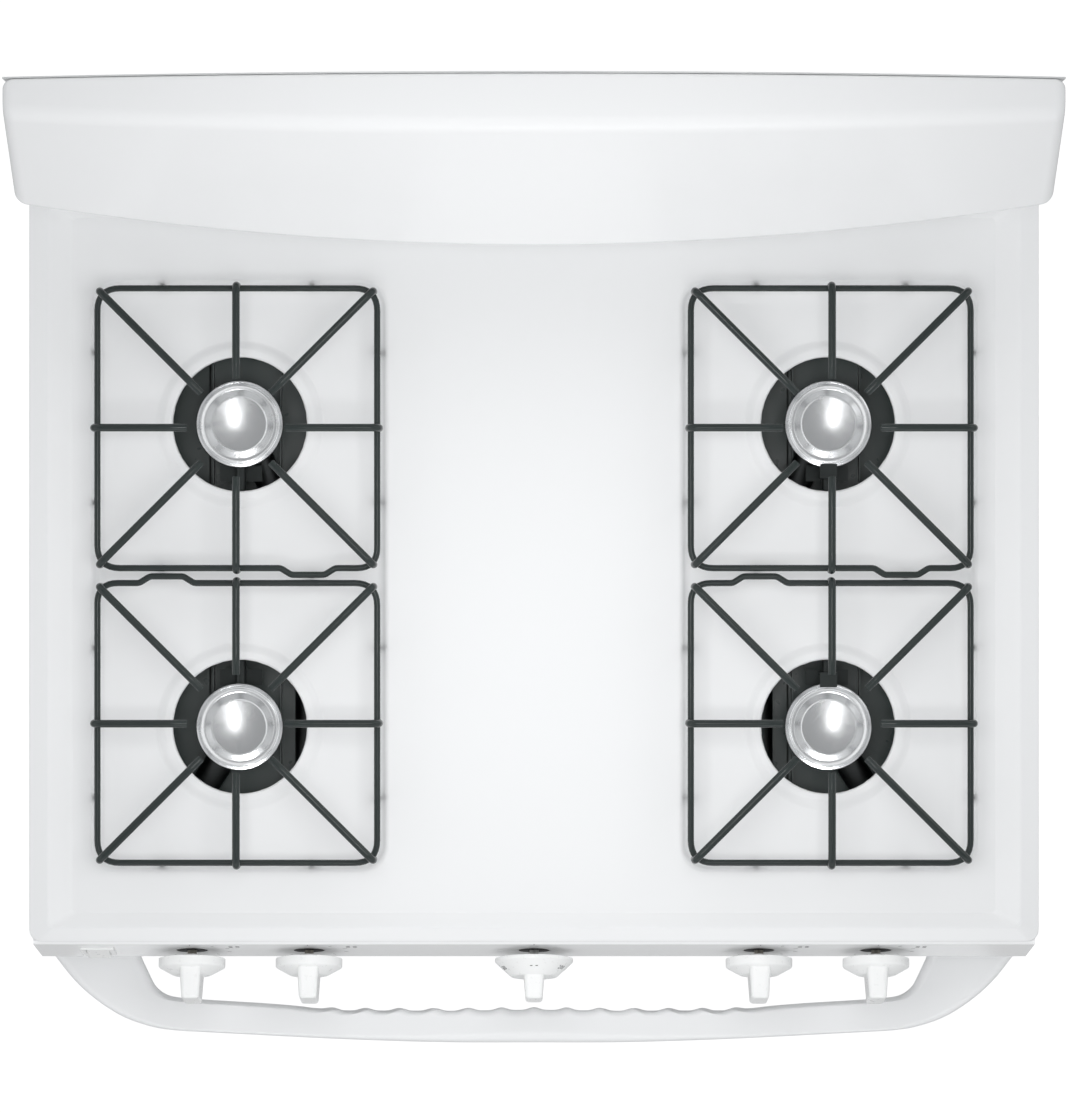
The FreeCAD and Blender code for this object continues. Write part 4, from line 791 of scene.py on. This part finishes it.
def backguard():
    """The bowed, crowned housing, with rounded ends."""
    end_round = 9.0 * MM
    stations = []
    for k in range(9):
        a = math.radians(90 * k / 8)
        stations.append((-HALF_WIDTH + end_round * (1 - math.sin(a)), end_round * (1 - math.cos(a))))
    stations = stations[::-1]
    inner = HALF_WIDTH - end_round
    stations += [(-inner + 2 * inner * k / 48, 0.0) for k in range(1, 48)]
    stations += [(-x, inset) for x, inset in reversed(stations[:9])]
    rings = [guard_section(x, inset) for x, inset in stations]
    make("backguard_enamel", shell(rings), "chassis", "white_enamel", ["backguard"], crease=50)


# ------------------------------------------------------------------ control panel fittings
PANEL_TOP = (-274.0 * MM, RIM_Z - 9.0 * MM)
PANEL_BOTTOM = (-290.0 * MM, RIM_Z - 85.0 * MM)
KNOB_Z = RIM_Z - 45.0 * MM
PANEL_TILT = math.atan2(PANEL_TOP[0] - PANEL_BOTTOM[0], PANEL_TOP[1] - PANEL_BOTTOM[1])
VALVE_X = (260.7 * MM, 171.5 * MM)


def panel_place(x):
    """The frame on the panel's face at the knobs' height: X along it, Y up it, Z out of it."""
    y = PANEL_TOP[0] - math.tan(PANEL_TILT) * (PANEL_TOP[1] - KNOB_Z)
    return Matrix.Translation((x, y, KNOB_Z)) @ Matrix.Rotation(math.pi / 2 - PANEL_TILT, 4, "X")


def grip(width, ridge, length, base, height):
    """A knob's finger bar, in millimetres: near upright sides and a softly rounded end."""
    rings = []
    soft = 2.4
    for k in range(9):
        t = k / 8
        rings.append((width / 2 + (ridge - width) / 2 * t, length / 2 - 2 * t, base + (height - soft) * t))
    half, reach, z = rings[-1]
    for k in range(1, 7):
        a = math.radians(90 * k / 6)
        inset = soft * (1 - math.cos(a))
        rings.append((half - inset, reach - inset, z + soft * math.sin(a)))
    skin = []
    for half, reach, z in rings:
        outline = rounded_rect(-half * MM, half * MM, -reach * MM, reach * MM, half * 0.45 * MM, 7)
        skin.append([(x, y, z * MM) for x, y in outline])
    return shell(skin)


def turned_mm(profile, radii):
    """A lathe skin from millimetre points with softened corners."""
    points = soften_profile([(r * MM, h * MM) for r, h in profile], [r * MM for r in radii])
    return lathe(points)


def burner_knobs():
    """The four tap knobs, each riding on its stem."""
    skirt = turned_mm(
        [(0, 17), (3.55, 17), (3.55, 3.2), (6.2, 3.2), (6.2, 11), (22.6, 11), (22.6, 6.5), (25.4, 6.5),
         (25.4, 13.2), (14, 19.5), (0, 19.5)],
        [0, 0, 0.3, 0.3, 0.3, 0.5, 0.4, 0.6, 2.2, 5, 0])
    bar = grip(16.4, 13.6, 44.0, 14.4, 24.5)
    for place, side, row, _, _ in burner_places():
        skin = moved(joined([skirt, bar]), panel_place(side * VALVE_X[row]))
        name = "knob_" + place
        make("moulded_" + name, skin, "tap_knob_" + place, "white_plastic", [name])


def oven_dial():
    """The larger thermostat dial."""
    skirt = turned_mm(
        [(0, 26.4), (3.55, 26.4), (3.55, 6.5), (29.75, 6.5), (29.75, 9.2), (18.4, 19.6), (17.2, 20.5),
         (0, 20.5)],
        [0, 0, 0.3, 0.7, 1.0, 1.0, 0.8, 0])
    bar = grip(15.7, 13.0, 33.0, 20.2, 18.3)
    skin = moved(joined([skirt, bar]), panel_place(0))
    make("moulded_oven_knob", skin, "oven_dial", "white_plastic", ["oven_knob"])


# ------------------------------------------------------------------ printed marks
PRINT_THICK = 0.08 * MM


def printed_text(words, size):
    """Flat lettering as a thin solid round the origin, in metres."""
    curve = bpy.data.curves.new("lettering", "FONT")
    curve.body = words
    curve.size = size
    curve.extrude = PRINT_THICK / 2
    curve.align_x = "CENTER"
    curve.align_y = "CENTER"
    curve.resolution_u = 3
    holder = bpy.data.objects.new("lettering", curve)
    mesh = bpy.data.meshes.new_from_object(holder)
    verts = [tuple(v.co) for v in mesh.vertices]
    faces = [tuple(p.vertices) for p in mesh.polygons]
    bpy.data.objects.remove(holder)
    bpy.data.curves.remove(curve)
    bpy.data.meshes.remove(mesh)
    return verts, faces


def on_dial_cone(piece, turn):
    """Lettering wrapped on the dial's sloped ring, its top outwards, turn radians clockwise from the top."""
    outer, inner = Vector((29.2 * MM, 9.7 * MM)), Vector((18.6 * MM, 19.4 * MM))
    along = (inner - outer).normalized()
    out = Vector((along.y, -along.x))
    middle = (outer + inner) / 2
    verts = []
    for u, v, lift in piece[0]:
        spot = middle - along * v + out * (lift + 0.03 * MM)
        angle = math.pi / 2 - turn - u / middle.x
        verts.append((spot.x * math.cos(angle), spot.x * math.sin(angle), spot.y))
    return verts, piece[1]


def dial_numbers():
    """Temperatures round the dial's sloped ring, with a bar for the off position."""
    marks = [on_dial_cone(block((-3 * MM, -0.4 * MM, 0), (3 * MM, 0.4 * MM, PRINT_THICK)), 0)]
    for i, label in enumerate(["200", "250", "300", "350", "400", "450", "500"]):
        marks.append(on_dial_cone(printed_text(label, 5.2 * MM), math.radians(60 + 38 * i)))
    make("dial_numbers", moved(joined(marks), panel_place(0)), "oven_dial", "black_plastic", crease=30,
         finish="print_grey")


def dot(x, y, r, hollow=False):
    """A printed dot or ring on the panel."""
    low, high = -0.03 * MM, PRINT_THICK
    inner = r * 0.68 if hollow else 0.0
    profile = [(inner, low), (r, low), (r, high), (inner, high)]
    if hollow:
        profile.append((inner, low))
    return lathe(profile, (x, y, 0), 24)


def panel_bushes():
    """Thin dark rings on the panel round the tap stems and the dial's, covering the stem holes: painted shade
    of the holes under the knobs.
    """
    section = [(3.9, -0.03), (11.6, -0.03), (11.6, 0.1), (3.9, 0.14), (3.9, -0.03)]
    rings = []
    for x in (-VALVE_X[0], -VALVE_X[1], 0.0, VALVE_X[1], VALVE_X[0]):
        rings.append(moved(turned_mm(section, [0, 0, 0.05, 0, 0]), panel_place(x)))
    # dark rings that paint the shade inside the stem holes beneath the knobs
    make("panel_bushes", joined(rings), "chassis", "black_plastic", crease=30)


def panel_marks():
    """Beside each knob a four-dot plan of the burners, its own dot filled, and ticks round the knob."""
    marks = []
    for place, side, row, _, _ in burner_places():
        spot = panel_place(side * VALVE_X[row])
        plan = []
        for i in (-1, 1):
            for j in (-1, 1):
                own = i == side and (j > 0) == (row == 1)
                plan.append(dot(33 * MM + i * 2.6 * MM, 20 * MM + j * 2.6 * MM, 1.6 * MM, hollow=not own))
        for k in range(7):
            turn = math.radians(90 - 35 * k)
            tick = block((27.6 * MM, -0.35 * MM, -0.03 * MM), ((31.5 - 0.3 * k) * MM, 0.35 * MM, PRINT_THICK))
            plan.append(moved(tick, Matrix.Rotation(turn, 4, "Z")))
        marks.append(moved(joined(plan), spot))
    tick = block((-0.4 * MM, 31.5 * MM, -0.03 * MM), (0.4 * MM, 35 * MM, PRINT_THICK))
    marks.append(moved(tick, panel_place(0)))
    make("panel_marks", joined(marks), "chassis", "black_plastic", crease=30, finish="print_grey")


# ------------------------------------------------------------------ door handle
HANDLE_LOW, HANDLE_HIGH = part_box("door_handle")
HANDLE_OUTER = [(378.0, -290.0), (372.7, -296.9), (361.9, -310.4), (350.1, -322.1), (334.8, -333.8),
                (318.5, -342.9), (297.7, -349.6), (279.7, -352.1), (262.7, -353.1), (223.4, -355.2),
                (145.7, -359.2), (68.0, -361.7), (0.0, -362.0)]
HANDLE_INNER = [(311.0, -290.0), (308.1, -296.9), (304.1, -305.4), (299.1, -315.4), (294.2, -321.6),
                (287.0, -326.2), (277.9, -328.2), (259.3, -329.6), (211.2, -332.4), (184.1, -334.6)]
SCALLOP_PITCH = 26.3
SCALLOP_REACH = 184.1


def smooth_line(points, count):
    """A spline through plan points in millimetres, resampled evenly along its length."""
    pts = np.array(points, float)
    steps = np.r_[0, np.cumsum(np.hypot(*np.diff(pts, axis=0).T))]
    dense = []
    for i in range(len(pts) - 1):
        p0, p1, p2, p3 = pts[max(i - 1, 0)], pts[i], pts[i + 1], pts[min(i + 2, len(pts) - 1)]
        for t in np.linspace(0, 1, 24, endpoint=False):
            a = 2 * p1 + (p2 - p0) * t
            b = (2 * p0 - 5 * p1 + 4 * p2 - p3) * t ** 2
            c = (3 * p1 - p0 - 3 * p2 + p3) * t ** 3
            dense.append((a + b + c) / 2)
    dense.append(pts[-1])
    dense = np.array(dense)
    run = np.r_[0, np.cumsum(np.hypot(*np.diff(dense, axis=0).T))]
    even = np.linspace(0, run[-1], count)
    return np.c_[np.interp(even, run, dense[:, 0]), np.interp(even, run, dense[:, 1])]


def scallop_y(x):
    """The handle's inner edge between the scallops' ends."""
    fade = min(1.0, (SCALLOP_REACH + 5 - abs(x)) / 40.0)
    cusp = ((1 + math.cos(2 * math.pi * x / SCALLOP_PITCH)) / 2) ** 2
    return -338.0 + 3.4 * (1 - fade) + 2.1 * fade * cusp


def handle_half():
    """Matched inner and outer plan points, from the right foot of the handle to its middle."""
    foot, middle = 60, 150
    outer = smooth_line(HANDLE_OUTER, 600)
    inner = smooth_line(HANDLE_INNER, foot)
    pairs = []
    turn_x = 262.0
    curved = outer[outer[:, 0] > turn_x]
    for k in range(foot):
        t = k / (foot - 1)
        pick = curved[min(len(curved) - 1, int(round(t * (len(curved) - 1))))]
        pairs.append((tuple(inner[k]), tuple(pick)))
    # past the bend, both edges are matched at equal steps towards the middle
    for k in range(1, middle + 1):
        t = k / middle
        xi = SCALLOP_REACH * (1 - t)
        xo = turn_x * (1 - t)
        yo = float(np.interp(xo, outer[::-1, 0], outer[::-1, 1]))
        pairs.append(((xi, scallop_y(xi)), (xo, yo)))
    return pairs


def handle_ring(inner, outer):
    """The handle's section between two plan points: a rounded oblong, narrower underneath."""
    a, b = Vector((inner[0] * MM, inner[1] * MM)), Vector((outer[0] * MM, outer[1] * MM))
    across = (b - a).normalized()
    width = (b - a).length
    z0, z1 = HANDLE_LOW.z, HANDLE_HIGH.z
    corners = [(1.5 * MM, 0, z0), (width - 2 * MM, 0, z0), (width, 0, z1), (-3.4 * MM, 0, z1)]
    ring = fillet_path(corners, [5 * MM, 9 * MM, 10 * MM, 8 * MM], 7, closed=True)
    return [(a.x + across.x * p.x, a.y + across.y * p.x, p.z) for p in ring]


def door_handle():
    """The bowed handle with its finger scallops."""
    half = handle_half()
    rings = [handle_ring(a, b) for a, b in half]
    rings += [[(-x, y, z) for x, y, z in ring] for ring in reversed(rings[:-1])]
    make("handle_bar", shell(rings), "door", "white_handle", ["door_handle"], crease=60)


# ------------------------------------------------------------------ CAD nodes
NODE_FINISH = {"burner_box": "box_enamel", "flash_tubes": "dark_steel", "gas_tubes": "dark_steel"}
SOFT_EDGED = ("door_panel", "drawer_front", "control_panel", "side_panel_left", "side_panel_right",
              "rocker_switch", "switch_housing", "front_frame")


def soften_edges():
    """Small rounds on the edges of the nodes in SOFT_EDGED."""
    for name in SOFT_EDGED:
        rounds = NODES[name].modifiers.new("rounds", "BEVEL")
        rounds.width = 0.6 * MM
        rounds.segments = 2
        rounds.limit_method = "ANGLE"
        rounds.angle_limit = math.radians(50)


def dress_cad_nodes():
    """Give every CAD node its slot's material, or the finish that NODE_FINISH names for it."""
    for entry in frame["record"]["subparts"]:
        node = NODES[entry["node"]]
        node.data.materials.clear()
        node.data.materials.append(MATERIALS[NODE_FINISH.get(entry["node"], entry["material_slot"])])
        for poly in node.data.polygons:
            poly.material_index = 0


cooktop()
grates()
burner_caps()
box_seams()
backguard()
burner_knobs()
oven_dial()
dial_numbers()
panel_marks()
panel_bushes()
door_handle()
studio()
look_down_camera()
soften_edges()
dress_cad_nodes()
